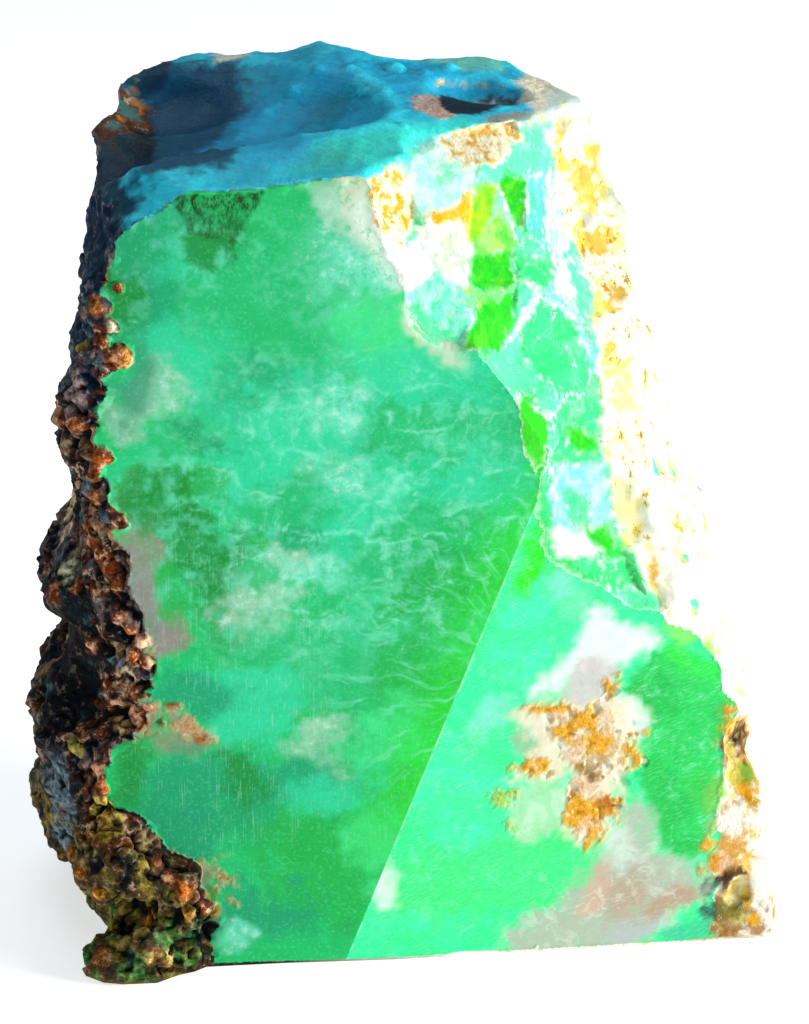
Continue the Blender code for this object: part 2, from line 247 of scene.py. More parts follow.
crustPlaces = [  # rusty pits of the lower sawn face: place, half sizes
    ((19.5, -21, 30), (3, 6, 3.4)), ((24, -20, 29.5), (3.6, 6, 3.2)), ((23.2, -20, 21), (4, 6, 4.8)),
    ((28.2, -19.5, 25.5), (2, 6, 2.6)), ((16, -21, 23.8), (2.4, 6, 1.2)),
    ((24, -20.5, 33.8), (1.6, 6, 1.5)),
]
knobs = [  # nodules of the left rind: colour, place, radius in mm
    ("creamDull", (-32, -24.5, 87.5), 0.8), ("rust", (-32.4, -24.1, 85.6), 0.7),
    ("rustDark", (-31.5, -24.4, 84.2), 1), ("orangeTan", (-33.4, -24.5, 82), 1.3),
    ("creamWhite", (-32.7, -24.5, 79.7), 1.2), ("rustDark", (-33.5, -24.5, 78), 1.2),
    ("orangeCream", (-31.3, -24.4, 76), 1.6), ("rust", (-32.7, -24.5, 76.3), 1.1),
    ("creamTan", (-34.8, -22.5, 71.7), 0.7), ("rust", (-36.7, -22.8, 67.5), 1.2),
    ("rustDark", (-38.6, -15.6, 65.7), 1), ("rust", (-33.8, -24.6, 64.2), 1.2),
    ("rustDark", (-34.8, -24.6, 61.8), 0.8), ("orangeTan", (-34.6, -24, 59.8), 1),
    ("rust", (-35.1, -17.4, 55.5), 1), ("rustDark", (-35.5, -19.3, 54.1), 1),
    ("pinkCream", (-31.7, -24.4, 56.2), 1.2), ("rust", (-35.4, -20, 52.4), 1),
    ("rustDark", (-34.2, -21.6, 51.7), 1.3), ("rust", (-33.3, -22.9, 50.1), 1.1),
    ("rustDark", (-32.7, -23.5, 48.7), 1), ("rustDark", (-40.4, -13.4, 43), 1.1),
    ("rust", (-37.8, -15.6, 44.9), 0.8), ("pinkCream", (-32.4, -23.9, 44.4), 1.1),
    ("pinkCream", (-34.6, -16.6, 40), 1.1), ("pinkCream", (-36.4, -15.4, 38), 1.1),
    ("rust", (-31.2, -24.3, 43.3), 1.1), ("pinkCream", (-29.5, -24.3, 41.8), 1.1),
    ("rust", (-30.6, -24.4, 40), 1), ("pinkCream", (-29, -24.3, 38.8), 1),
    ("pinkCream", (-31.6, -21.5, 35.7), 1.1), ("rust", (-34, -20.8, 35.1), 1),
    ("pinkCream", (-32.3, -21.3, 33), 1.2), ("rust", (-35.3, -16, 30.6), 1),
    ("rustPink", (-30.6, -23, 31.7), 1.2), ("rustPink", (-28.9, -24.3, 33.5), 1),
    ("rust", (-29.9, -24.3, 30.8), 0.7), ("olive", (-27.7, -24.2, 31.5), 0.7),
    ("rustDark", (-37, -19.8, 28.3), 1), ("rustPink", (-35.2, -23.3, 25.6), 1.2),
    ("rust", (-34.6, -24.6, 23.3), 1), ("orange", (-39, -14.6, 10), 1), ("orange", (-37.4, -25.9, 13.1), 1),
    ("brown", (-35.4, -27, 17), 0.8), ("brownTan", (-31.8, -27.4, 17.1), 1),
    ("rustPink", (-28.3, -25.2, 14.4), 1), ("rustPink", (-27.1, -26.3, 12.5), 1.1),
    ("rust", (-25.7, -27, 11.1), 1.1), ("rustPink", (-23.9, -24.3, 9.5), 1),
    ("rustDark", (-22.8, -24.3, 8.1), 0.8), ("ochre", (-35, -28.1, 11.5), 1),
    ("oliveCream", (-29.3, -28.5, 3.2), 1), ("oliveCream", (-27.2, -27.6, 2.3), 0.8),
    ("greenGlass", (-25.3, -26, 3), 0.8), ("brown", (-35.3, -27.1, 2.5), 1.3),
    ("brownDark", (-36.8, -26.7, 0.5), 1),
]
topBumps = [  # low bumps of the top: place, radius
    ((-0.5, 9, 101), 1.5), ((-6, 7.5, 100.8), 1.3), ((-9.5, 8, 100.6), 1.2), ((-12.5, 5.6, 99.2), 1.1),
    ((-15.5, 3, 97.6), 1.4), ((3, 8.5, 100.4), 1), ((-4, 3, 99.6), 1), ((-21, -14, 96), 1.6),
    ((6, 10.5, 100.4), 1.2), ((-17.5, -8, 95.6), 1.2), ((-13, -10, 96.8), 0.9), ((-24.5, -9, 95), 1.5),
    ((0.5, -9, 98.8), 0.7), ((-25.5, 2, 96.5), 1.2),
]


def relief(stone):
    plan = stonePlan
    mesh = stone.data
    points, normals, ends = readPoints(mesh), readNormals(mesh), readEdges(mesh)
    soft = averaged(normals, ends, 8)
    soft /= np.linalg.norm(soft, axis=1)[:, None]
    zone = zones(points, normals)
    x, y, z = points.T
    rind = averaged(zone["rind"], ends, 2) * smooth(0.1, 1.4, z)
    bent = points + 0.9 * clouds(points, 3.0, 2, (11.0, 23.0, 37.0))
    nodule = cells(bent, plan["noduleSize"])[:, 0]
    crumb = cells(bent, plan["crumbSize"], 5.0)[:, 0]
    grain = cloud(points, 0.9, 2, 9.0)
    wide = smooth(-0.35, 0.35, cloud(points, 9.0, 2, 17.0))
    dark = smooth(8.0, -14.0, x)
    pit = smooth(0.10, 0.42, cloud(points, 4.2, 3, 29.0))

    # calm places: the glassy top left and the two dark hollows
    calm = spotMask(points, (-34.0, -17.0, 89.0), (8.0, 12.0, 10.0), 0, 0.6)
    calm = np.maximum(calm, spotMask(points, (-37.0, -12.0, 80.0), (3.5, 14.0, 7.0), 0, 0.8) * 0.7)
    void = spotMask(points, (-38.5, -12.0, 35.5), (5.0, 9.0, 9.0), 0, 0.4, 0.3 * grain)
    slate = spotMask(points, (-40.0, -13.0, 19.0), (5.0, 9.0, 7.0), 0, 0.5, 0.3 * grain)
    calm = np.maximum(calm, 0.75 * np.maximum(void, 0.7 * slate))

    # rind: nodules, crumbs and grain, then hollows and thin ledges
    height = plan["nodule"] * (0.42 - nodule) * (0.35 + 0.65 * wide)
    height += plan["crumb"] * (0.4 - crumb)
    height += plan["grain"] * grain
    height -= pit * (plan["hollowLeft"] * dark + plan["hollowRight"] * (1.0 - dark))
    height *= 1.0 - 0.85 * calm
    gap, chance = shards(bent * np.array([0.85, 1.0, 1.5]), plan["shardSize"], 15.0)
    height += dark * (1.0 - 0.7 * calm) * (plan["shard"] * (chance - 0.5) - 0.7 * smooth(0.12, 0.0, gap))
    height += plan["swell"] * dark
    near = smooth(-8.0, -3.0, x - edgeAt(leftEdge, z)) * smooth(-8.0, -16.0, y)
    height *= rind * (0.42 + 0.58 * dark) * (1.0 - 0.42 * dark * (1.0 - near))
    for tone, place, radius in knobs:
        far = np.linalg.norm(bent * 0.6 + points * 0.4 - np.array(place), axis=1) / radius + 0.35 * grain
        knob = (1.0 - far ** 2) * 0.75 * radius + 0.5 * (0.4 - crumb) + 0.3 * grain
        height = np.where(far < 1.0, np.maximum(height, knob), height)

    # broken top and shoulder: low bumps and shell-shaped scallops
    for place, radius in topBumps:
        far = np.linalg.norm(points - np.array(place), axis=1) / radius + 0.2 * grain
        height += np.clip(1.0 - far ** 2, 0.0, 1.0) * 0.45 * radius
    fresh = averaged(np.clip(zone["shoulder"] * 0.3 + zone["top"], 0, 1), ends, 2)
    bowl = cells(points * np.array([1.0, 1.0, 0.8]), plan["bowlSize"], 41.0)[:, 0]
    chip = cells(points, plan["chipSize"], 53.0)[:, 0]
    height += fresh * (plan["scallop"] * (bowl ** 2 - 0.2) + 0.35 * plan["scallop"] * (chip ** 2 - 0.2))

    # pits of the rusty crust on the lower sawn face
    crust = np.zeros(len(points))
    for place, size in crustPlaces:
        crust = np.maximum(crust, spotMask(bent, place, size, 0, 0.5))
    ditch = smooth(0.15, 0.5, cloud(points, 1.5, 4, 67.0)) * 0.45 + smooth(0.25, 0.1, crumb) * 0.12
    height -= crust * zone["lower"] * ditch
    moved = points + soft * height[:, None]
    moved[:, 2] = np.where(z < 0.3, np.maximum(points[:, 2], 0.0), np.maximum(moved[:, 2], 0.02))
    moved[z < 0.25, 2] = 0.0  # the base stays flat
    writePoints(mesh, moved)


def thin(stone):
    faces = stonePlan["faces"]
    stone.data.calc_loop_triangles()
    count = len(stone.data.loop_triangles)
    stage("%d triangles before thinning" % count)
    if count <= faces:
        return
    points, normals = readPoints(stone.data), readNormals(stone.data)
    shake = np.random.default_rng(5).uniform(-stonePlan["shake"], stonePlan["shake"], len(points))
    writePoints(stone.data, points + normals * shake[:, None])
    keep = stone.vertex_groups.new(name="thin")  # the back and the base are thinned first
    away = smooth(-2.0, 14.0, points[:, 1]) * smooth(0.3, -0.2, normals[:, 2] - 0.4)
    away = np.maximum(away, smooth(0.4, 0.2, points[:, 2]))
    weight = 0.12 + 0.88 * away
    for level in range(11):
        chosen = np.nonzero(np.round(weight * 10) == level)[0]
        if len(chosen):
            keep.add(chosen.tolist(), level / 10.0, "REPLACE")
    thinner = stone.modifiers.new("thin", "DECIMATE")
    thinner.ratio = faces / count
    thinner.vertex_group = "thin"
    thinner.vertex_group_factor = 1.0
    applyAll(stone)
    stone.vertex_groups.clear()
    points = readPoints(stone.data)
    points[points[:, 2] < 0.12, 2] = 0.0

    # points shaken off a sawn face go back onto it
    overMain, overLower = overFace(points, "main"), overFace(points, "lower")
    over = np.maximum(overMain, overLower)
    normal = np.where((overLower > overMain)[:, None], sawFaces["lower"], sawFaces["main"])
    points -= (over * smooth(0.14, 0.10, np.abs(over)))[:, None] * normal
    writePoints(stone.data, points)


def splitShoulder(stone):  # finer triangles where the facets are cut
    work = bmesh.new()
    work.from_mesh(stone.data)
    edges = [edge for edge in work.edges if all(
        -4.5 < v.co.x * 1000 < 25.0 and -24.5 < v.co.y * 1000 < 5.0 and 64.0 < v.co.z * 1000 < 99.0
        and abs(v.normal.z) < 0.9 and v.normal.y < 0.45 for v in edge.verts)]
    bmesh.ops.subdivide_edges(work, edges=edges, cuts=1, use_grid_fill=True)
    bmesh.ops.triangulate(work, faces=work.faces)
    work.to_mesh(stone.data)
    work.free()
    stone.data.update()


facets = [  # colour, how far it is sunk in mm, outline seen from the front
    ("glass", 0.2, [(17.2, 90.6), (19.7, 90.8), (20.4, 83), (18.9, 81.1), (17.7, 83.8)]),
    ("clearMint", 0, [(16.2, 60.5), (18.5, 64.7), (24.1, 61.1), (24.9, 55), (26.5, 50), (28.5, 45.5),
        (24, 46.8), (19.5, 48.8), (17, 51), (15.8, 56)]),
    ("clearMint", 0, [(17.6, 67.4), (22.8, 69), (24, 65.8), (24.1, 61.1), (18.5, 64.7)]),
    ("glow", 0, [(13.4, 70.6), (15.4, 69.8), (17.4, 66.8), (17.2, 63.8), (15.6, 61), (14.2, 64.6)]),
    ("paleAqua", 0, [(17.6, 61.2), (23.9, 60.1), (24.6, 55.6), (24.8, 51.2), (18.1, 53.1)]),
    ("clearAqua", 0.3, [(18.5, 58.3), (20.8, 57.8), (22.4, 55.9), (22.2, 52.7), (20.3, 53.3)]),
    ("white", 0, [(17.2, 54.4), (21, 52.8), (23.9, 50.2), (18.2, 51.1)]),
    ("lime", 0.2, [(21, 53.6), (24.1, 53.2), (26, 49.5), (23.4, 50.3)]),
    ("clearMint", 0, [(22.9, 50), (26.7, 48.4), (28.1, 45.7), (23.8, 47.3)]),
    ("lime", 0.2, [(19, 65.4), (22.7, 63.1), (23.2, 61.3), (20.5, 61.5)]),
    ("clearAqua", 0.4, [(16.3, 78.7), (20.1, 75.7), (22.8, 69.3), (21.1, 67.3), (18.6, 68.6), (14.6, 73),
        (14, 76.1)]),
    ("paleAqua", 0, [(20.2, 77.2), (22.2, 74), (23.5, 68.1), (22.8, 69.3), (20.4, 75.4), (18.2, 78)]),
    ("snow", 0, [(18, 81.7), (19.6, 80.7), (20.7, 76.6), (18.2, 79.3)]),
    ("clearMint", 0.3, [(13.7, 83.7), (17.9, 82.8), (18.3, 80.3), (16, 79.9), (14, 81.4)]),
    ("paleTeal", 0.3, [(14.8, 92.3), (17.2, 90.6), (17.3, 84.1), (15.2, 85.5), (14.5, 87.3)]),
    ("glass", 0, [(1.4, 94.7), (1.6, 96.5), (4.2, 97), (8.7, 96), (9.1, 94), (8.6, 91.9), (6.5, 90.2),
        (3, 89.8), (1.6, 91.9)]),
    ("rustCream", -0.2, [(4.5, 97), (10.4, 97.8), (13.3, 97.6), (14.3, 95.9), (11.7, 94.4), (8.4, 94.2),
        (5.9, 95.3)]),
    ("crust", -0.2, [(-3.6, 96.4), (-0.5, 97.2), (1.3, 94.9), (1.6, 92), (1.4, 89.2), (-0.2, 88.3),
        (-3, 91.5)]),
    ("paleGreen", 0, [(2, 89.5), (4.7, 89.7), (7.8, 89.4), (8.5, 86.5), (8.1, 82), (5.8, 83.5),
        (4.5, 84.9), (2.2, 88.2)]),
    ("amber", -0.1, [(4.7, 89.5), (3, 91), (5.8, 91.3), (8.4, 92), (9.1, 89), (7.9, 86.8), (6.8, 89.3)]),
    ("limeYellow", 0.3, [(8.6, 92.4), (11.2, 91.7), (10.7, 88.6), (10.3, 86.8), (8.6, 85.9), (7.9, 87.2)]),
    ("limePale", 0.2, [(10.3, 87.9), (11.7, 89.2), (13.5, 84.5), (13, 84), (8.6, 84.6), (8.6, 85.9)]),
    ("lime", 0.5, [(8.2, 85), (13, 84.2), (13.4, 81.1), (11.4, 80.6), (9.1, 81.5), (8.1, 82)]),
    ("lime", 0.4, [(12, 93.1), (14.8, 91.6), (14.6, 87.3), (13.4, 86.6), (11.3, 91.4)]),
    ("lime", 0.9, [(8.5, 80.8), (11.6, 79.9), (13.4, 80.4), (13.4, 77.3), (11.8, 74.6), (7.6, 76.3),
        (7.4, 77.6), (8.4, 79.3)]),
    ("paleAqua", 0.2, [(0.6, 83.5), (4.4, 85), (6.6, 82.8), (8.3, 80.5), (8.1, 78.8), (7, 77.5), (3.4, 80),
        (1, 82.2)]),
    ("white", 0, [(-3.1, 91.5), (-0.2, 88.1), (2.2, 88.3), (4.4, 85), (0.6, 83.4), (-1.5, 87.3)]),
]
arrises = [  # bright broken edges between the facets, partly painted highlights: colour, outline
    ("limeYellow", [(6.7, 83), (8.4, 81.7), (11.4, 80.6), (13.6, 81.3), (13.9, 80.7), (11.5, 79.9),
        (8.9, 80.4), (7.2, 82.2)]),
    ("white", [(15.5, 79.8), (16.4, 78.8), (13.2, 75), (12.2, 74.9)]),
    ("white", [(13.3, 82.1), (15.8, 80.4), (22, 74.4), (21.5, 74.1), (15.5, 79.9), (13.1, 81.7)]),
    ("white", [(11.2, 91.7), (11.6, 91.5), (13.9, 84.3), (13.4, 84.2)]),
    ("white", [(14.6, 92.4), (14.9, 92.4), (14.9, 86.6), (14.5, 86.8)]),
    ("white", [(17.2, 91.5), (17.6, 91.5), (17.8, 83.6), (17.2, 84)]),
]


def cutFacets(stone):
    mesh = stone.data
    points, ends = readPoints(mesh), readEdges(mesh)
    zone = zones(points, readNormals(mesh))
    loose = np.clip(1.0 - zone["sawn"] - zone["right"], 0.0, 1.0) * smooth(8.0, 4.0, points[:, 1])
    easy = averaged(zone["shoulder"] * loose, ends, 3) * smooth(0.05, 0.8, -zone["front"])
    points[:, 1] += (averaged(points[:, 1], ends, stonePlan["facetRounds"]) - points[:, 1]) * easy
    for name, sink, outline in facets:
        mask = outlineMask(points[:, 0], points[:, 2], outline, 0.9) * loose
        inside = mask > 0.5
        if inside.sum() < 12:  # too few points for a plane
            continue
        spot = points[inside]
        table = np.column_stack([spot[:, 0], spot[:, 2], np.ones(len(spot))])
        slope = np.linalg.lstsq(table, spot[:, 1], rcond=None)[0]
        flat = points[:, 0] * slope[0] + points[:, 2] * slope[1] + slope[2] + 0.3 * sink
        touched = mask > 0
        dent = 0.10 * cloud(points[touched], 1.6, 3, 7.0)
        press = (flat - points[:, 1]) * mask * stonePlan["facetDepth"]
        points[touched, 1] += press[touched] + dent * mask[touched]
    writePoints(mesh, points)


tones = {  # red, green and blue out of 255
    # sawn faces
    "haze": (50, 146, 126), "teal": (22, 160, 112), "aqua": (46, 216, 160), "emerald": (34, 190, 112),
    "deepTeal": (22, 164, 104), "bright": (68, 232, 140), "paleHaze": (96, 214, 172),
    "milk": (120, 232, 200), "cream": (166, 216, 188), "green": (30, 178, 74), "leaf": (22, 142, 52),
    "mauve": (138, 142, 116), "peach": (205, 160, 120), "rust": (186, 100, 34), "glow": (44, 232, 18),
    "mint": (70, 242, 184), "snow": (234, 254, 242), "lilac": (214, 200, 200), "sage": (180, 226, 176),
    "amber": (240, 172, 20), "fern": (28, 186, 68), "fog": (184, 184, 172), "pink": (210, 174, 152),
    "lilacGrey": (184, 184, 194), "greyTeal": (60, 190, 165), "greenYellow": (140, 220, 70),
    "oliveGreen": (120, 176, 60), "rustDark": (112, 58, 24), "mainGreen": (28, 194, 108),
    "lowerMintSunlit": (54, 236, 160), "creamWhite": (226, 232, 206), "mauveGrey": (152, 132, 138),
    "tealRim": (50, 150, 110), "pinkCream": (238, 192, 158), "peachPale": (236, 222, 190),
    "sageGrey": (150, 190, 150), "sandPink": (246, 226, 198), "pinkGrey": (186, 150, 128),
    "rustPit": (176, 92, 14), "sageYellow": (190, 206, 70), "limePale": (150, 240, 110),
    # broken shoulder
    "glass": (196, 240, 222), "rustCream": (255, 244, 214), "crust": (255, 246, 206),
    "paleGreen": (206, 238, 190), "limeYellow": (150, 200, 0), "lime": (16, 180, 0),
    "white": (246, 254, 248), "paleAqua": (110, 236, 200), "paleTeal": (76, 238, 190),
    "clearAqua": (42, 230, 132), "clearMint": (34, 226, 112), "ice": (156, 242, 210),
    "shoulderGreen": (90, 242, 170), "gold": (228, 172, 0),
    # top
    # several top colours stand for painted sky light, highlight and shade
    "orange": (238, 156, 24), "shadowNavy": (6, 40, 66), "dark": (12, 62, 78), "mid": (36, 176, 222),
    "lip": (52, 222, 244), "pinkRust": (214, 170, 150), "greenBack": (112, 208, 186),
    "brownGlass": (160, 130, 104), "topSkyShade": (26, 176, 212), "shadowBlack": (3, 10, 18),
    "orangeTan": (206, 138, 70), "tealGlass": (60, 134, 130), "holeShadow": (5, 12, 22), "topShade": (8, 60, 96),
    "topAqua": (56, 216, 186),
    # rinds
    "ochre": (222, 158, 34), "grey": (180, 184, 164), "yellow": (246, 226, 110), "olive": (130, 116, 40),
    "black": (8, 8, 10), "brown": (130, 92, 50), "creamRind": (255, 252, 236), "darkGreen": (34, 60, 36),
    "greyBrown": (190, 164, 134), "rustPink": (214, 154, 120), "blueGrey": (104, 124, 138),
    "leafDark": (50, 112, 40), "rindShadeDark": (8, 16, 22), "rindTan": (214, 170, 124),
    "orangeCream": (226, 164, 92), "creamTan": (212, 184, 130), "greyTan": (205, 182, 148),
    "navyGlass": (12, 44, 60), "yellowOlive": (170, 160, 70), "brownTan": (168, 124, 66),
    "oliveDark": (66, 60, 26), "greenGlass": (66, 130, 60), "amberGlass": (190, 130, 44),
    "paleGrey": (186, 190, 184), "tealDark": (22, 74, 78), "oliveCream": (206, 204, 120),
    "brownDark": (70, 42, 26), "creamDull": (176, 180, 150), "shadeNavyBlue": (4, 40, 66),
}
crustTones = (  # crumbly, with ragged edges
    "sageYellow", "orangeTan", "orangeCream", "creamTan", "pinkCream", "brownTan", "oliveCream", "amber",
    "rust", "ochre", "crust", "rustCream", "orange", "pinkRust", "rustPink", "brown", "gold", "olive",
    "yellow", "peach", "rustDark", "creamRind",
)
milkTones = (  # cloudy places of the lower sawn face
    "snow", "lilac", "sageGrey", "sage", "sandPink", "fog", "pink", "pinkGrey", "lilacGrey",
)
paneGleam = {  # what glints inside a facet, how much, and how limey the facet is
    "lime": ("glow", 0.3, 0.3), "glow": ("lime", 0.25, 0), "limeYellow": ("lime", 0.55, 0.9),
    "limePale": ("lime", 0.6, 0.9), "paleGreen": ("white", 0.7, 0), "glass": ("paleAqua", 0.55, 0),
    "white": ("ice", 0.35, 0), "paleAqua": ("glass", 0.6, 0), "clearAqua": ("clearMint", 0.55, 0),
    "clearMint": ("clearAqua", 0.6, 0), "snow": ("ice", 0.4, 0), "paleTeal": ("clearMint", 0.5, 0),
    "crust": ("gold", 0.95, 0), "rustCream": ("gold", 0.85, 0), "amber": ("gold", 0.9, 0),
}
vividPanes = ("lime", "glow", "limeYellow", "white", "crust", "rustCream", "amber", "limePale")
ledgeTones = (  # ledges of the left rind: colour, and the chance value up to which it is taken
    ("greyBrown", 0.16), ("mauveGrey", 0.28), ("tealGlass", 0.36), ("rindTan", 0.50), ("blueGrey", 0.62),
    ("brownDark", 0.74),
)
patches = [  # smooth coloured faces of the left rind: colour, place, radius in mm
    ("olive", (-36.1, -18.8, 75.2), 1.6), ("mauveGrey", (-36.5, -21.1, 70.6), 2.1),
    ("mauveGrey", (-37, -21.9, 68.4), 1.8), ("tealRim", (-33.5, -24.5, 69.9), 0.8),
    ("creamDull", (-33.8, -24.6, 65.6), 0.7), ("greyTan", (-38.9, -1.7, 50.2), 1.8),
    ("greyTan", (-39.2, -5.2, 48.6), 1.6), ("creamDull", (-38.8, -13.4, 45.9), 1.3),
    ("navyGlass", (-36.5, -15.7, 42.2), 1.9), ("tealGlass", (-36, -14.5, 34.5), 1.1),
    ("tealGlass", (-33, -19.8, 37), 1), ("tealGlass", (-36.8, -13.7, 31.7), 0.6),
    ("yellowOlive", (-38, -20.1, 26.4), 1.3), ("yellow", (-34.8, -24.4, 20.7), 1.2),
    ("yellow", (-33.3, -25.2, 19.7), 0.8), ("blueGrey", (-40.1, -14.9, 21.4), 1.8),
    ("blueGrey", (-38.9, -16.4, 18.1), 1.8), ("blueGrey", (-40.1, -12.5, 12.5), 1.8),
    # the black patch here is painted shade
    ("olive", (-34.4, -25.9, 18.6), 1.7), ("black", (-35.3, -27.6, 15.2), 1.1),
    ("oliveDark", (-32.5, -29, 15.1), 1.4), ("darkGreen", (-32.7, -19, 6), 1.3),
    ("greenGlass", (-26.8, -25.6, 5.4), 1.1), ("greenGlass", (-23.5, -26, 5.7), 1.2),
    ("amberGlass", (-29.6, -21.7, 5.6), 1.1), ("amberGlass", (-25.1, -26.1, 8), 0.8),
    ("paleGrey", (-32.9, -25.1, 3.9), 0.8), ("tealDark", (-31.5, -27.8, 3.3), 0.6),
    ("paleGreen", (-21, -23.9, 2), 0.8), ("creamTan", (-31.5, -21.3, 30.5), 1.7),
    ("greyTan", (-31.3, -21.8, 35.8), 1.5), ("darkGreen", (-22.9, -25.3, 6.6), 1.6),
    ("leafDark", (-25.9, -25.9, 3.6), 1.8), ("olive", (-32.2, -19.5, 3.9), 1.7),
]
rindSpots = [  # colour, place, half sizes, tilt in degrees, softness
    ("gold", (22.4, 4.6, 88.1), (1.9, 3.3, 3.3), 10, 0.5),
    ("gold", (22.8, 5.1, 92.7), (1.2, 1.2, 1.1), 0, 0.5),
    ("gold", (18.9, 1.8, 95.8), (1.2, 1.4, 1.4), 0, 0.5),
    ("gold", (22.6, 2.2, 81.7), (2.2, 2.2, 1.1), 0, 0.3),
    ("grey", (22.1, 3.1, 84), (1.4, 1.4, 1.4), 0, 0.5),
    ("gold", (24.7, -6.8, 71.6), (0.9, 1.5, 1.5), -15, 0.4),
    ("gold", (26, -0.8, 76.3), (0.9, 1.1, 1.1), 0, 0.5),
    ("yellow", (23.3, -2.8, 76.2), (0.6, 2.6, 2.6), 0, 0.6),
    ("gold", (24.3, 5.7, 89.6), (1.7, 1.7, 0.7), 0, 0.6),
    ("gold", (18.4, 1.1, 92.1), (1.4, 1.4, 1.4), 0, 0.8),
    ("yellow", (26, 3.4, 81.1), (0.7, 1.2, 1.2), 0, 0.6),
    ("aqua", (30, -10.4, 58.3), (0.6, 1.3, 1.3), 0, 0.5),
    ("aqua", (32.3, -6.8, 56.4), (0.7, 1.7, 1.7), -20, 0.5),
    ("aqua", (33.9, -14.3, 47.9), (0.7, 0.7, 0.7), 0, 0.5),
    ("aqua", (34.8, -17, 43.3), (0.7, 1.2, 1.2), 0, 0.5),
    ("gold", (30, -16.8, 47.6), (0.5, 2.1, 2.1), 0, 0.4),
    ("gold", (28.4, -15.5, 51.7), (0.7, 0.8, 0.5), 0, 0.4),
    ("yellow", (24.4, -14.9, 55.6), (0.5, 5.1, 5.1), 0, 0.6),
    ("yellow", (26.4, -16.4, 50.6), (0.6, 3.5, 3.5), -18, 0.6),
    ("greenYellow", (34.1, -19.1, 38.7), (4.5, 4.5, 1.4), 10, 0.6),
    ("ochre", (41, -14.5, 24), (2.6, 6, 6), 0, 0.5), ("ochre", (40.5, -15.5, 11), (3.6, 6, 4.6), 0, 0.5),
    ("brownTan", (41, -15.5, 3), (3.8, 6, 3.6), 0, 0.5),
    ("orange", (38.6, -18.2, 29), (1.1, 2.5, 2.4), 0, 0.4),
    ("black", (39.3, -13.2, 23.4), (0.7, 2.5, 2), 0, 0.4),
    ("ochre", (40.6, -12.2, 24.7), (0.9, 2.5, 2.8), 0, 0.4),
    ("brownDark", (40.1, -13.1, 21.8), (1, 2.5, 1), 0, 0.4),
    ("oliveGreen", (40.7, -14.5, 20.1), (1.6, 2.5, 1.4), 0, 0.4),
    ("greenYellow", (37.8, -18.1, 20.5), (1.2, 2.5, 2.4), 0, 0.4),
    ("gold", (41.8, -17.5, 18.5), (0.9, 2.5, 1.8), 0, 0.4),
    ("amber", (41, -16.3, 19.5), (0.8, 2.5, 0.7), 0, 0.4),
    ("oliveCream", (37.1, -18, 15.5), (1.1, 2.5, 1.4), 0, 0.4),
    ("creamRind", (40, -17.7, 15.3), (1.1, 2.5, 1.4), 0, 0.4),
    ("amber", (36.8, -18, 13.1), (0.8, 2.5, 0.9), 0, 0.4),
    ("orange", (38.1, -17.8, 11), (1.4, 2.5, 1.1), 0, 0.4),
    ("pinkCream", (39.5, -17.6, 10.7), (0.9, 2.5, 1), 0, 0.4),
    ("brownTan", (40.8, -16.8, 9.2), (1.1, 2.5, 1.1), 0, 0.4),
    ("black", (37.2, -17.8, 7.7), (0.8, 2.5, 1.2), 0, 0.4),
    ("greyBrown", (39.6, -17, 7.3), (1.6, 2.5, 1), 0, 0.4),
    ("amber", (42.6, -11.2, 9.1), (0.6, 2.5, 1.2), 0, 0.4),
    ("creamRind", (43.2, -16.1, 7.6), (1, 2.5, 2.8), 0, 0.4),
    ("black", (39.1, -17.6, 9.1), (0.4, 2.5, 0.5), 0, 0.4),
    ("tealGlass", (39.7, -17.1, 4.4), (1.8, 2.5, 1), 0, 0.4),
    ("gold", (41.7, -17.2, 5.4), (0.9, 2.5, 1.2), 0, 0.4),
    ("tealDark", (37.4, -17.7, 4.1), (1.2, 2.5, 1), 0, 0.4),
    ("oliveCream", (40.9, -17.2, 3.2), (1.2, 2.5, 0.8), 0, 0.4),
    ("brownTan", (39.8, -17.3, 1.2), (2, 2.5, 0.9), 0, 0.4),
    ("amber", (42.6, -17, 3.1), (0.7, 2.5, 1.2), 0, 0.4),
    ("brownDark", (40.6, -12.8, 23.8), (1.5, 4, 2.8), 8, 0.4),
    ("black", (39.6, -13.1, 22.6), (0.9, 4, 1.8), 10, 0.4),
    ("black", (38.6, -17.6, 8.2), (1.3, 4, 0.9), 0, 0.4),
    ("brownDark", (40.6, -17, 8.8), (1.2, 4, 0.7), 0, 0.4),
    ("orange", (39.6, -16, 27.6), (1.6, 5, 3.4), 6, 0.3),
    ("brownDark", (40.4, -14, 25.6), (1.3, 6, 3), 6, 0.3),
    ("black", (39.8, -14, 23.4), (0.9, 6, 2), 0, 0.3),
    ("brownDark", (38.4, -18, 26.4), (0.6, 2.5, 2.2), 0, 0.4),
    ("brownDark", (39.6, -17.4, 7.4), (1.5, 4, 0.9), 0, 0.4),
    ("olive", (39.6, -17.4, 4.2), (1.8, 4, 1.4), 0, 0.4),
    ("orange", (38, -18.3, 28.2), (0.5, 2, 2.6), 4, 0.4),
    # the navy, black and near-black spots of the left rind below are painted shade in its hollows
    ("shadowNavy", (-32.5, -19.6, 91.4), (5.7, 5.7, 5.7), 0, 0.6),
    ("black", (-36.3, -20.2, 62.1), (2.9, 2.9, 2.3), 0, 0.5),
    ("black", (-35.6, -16.6, 43.1), (3.3, 3.3, 1.6), 0, 0.5),
    ("black", (-38.1, -12.8, 34), (4.1, 6, 6), 0, 0.5),
    ("shadowBlack", (-41.6, -14.9, 27.6), (2.6, 4.3, 4.3), 0, 0.6),
    ("black", (-31.6, -28.6, 14.9), (1.2, 2.6, 2.6), 0, 0.5),
]
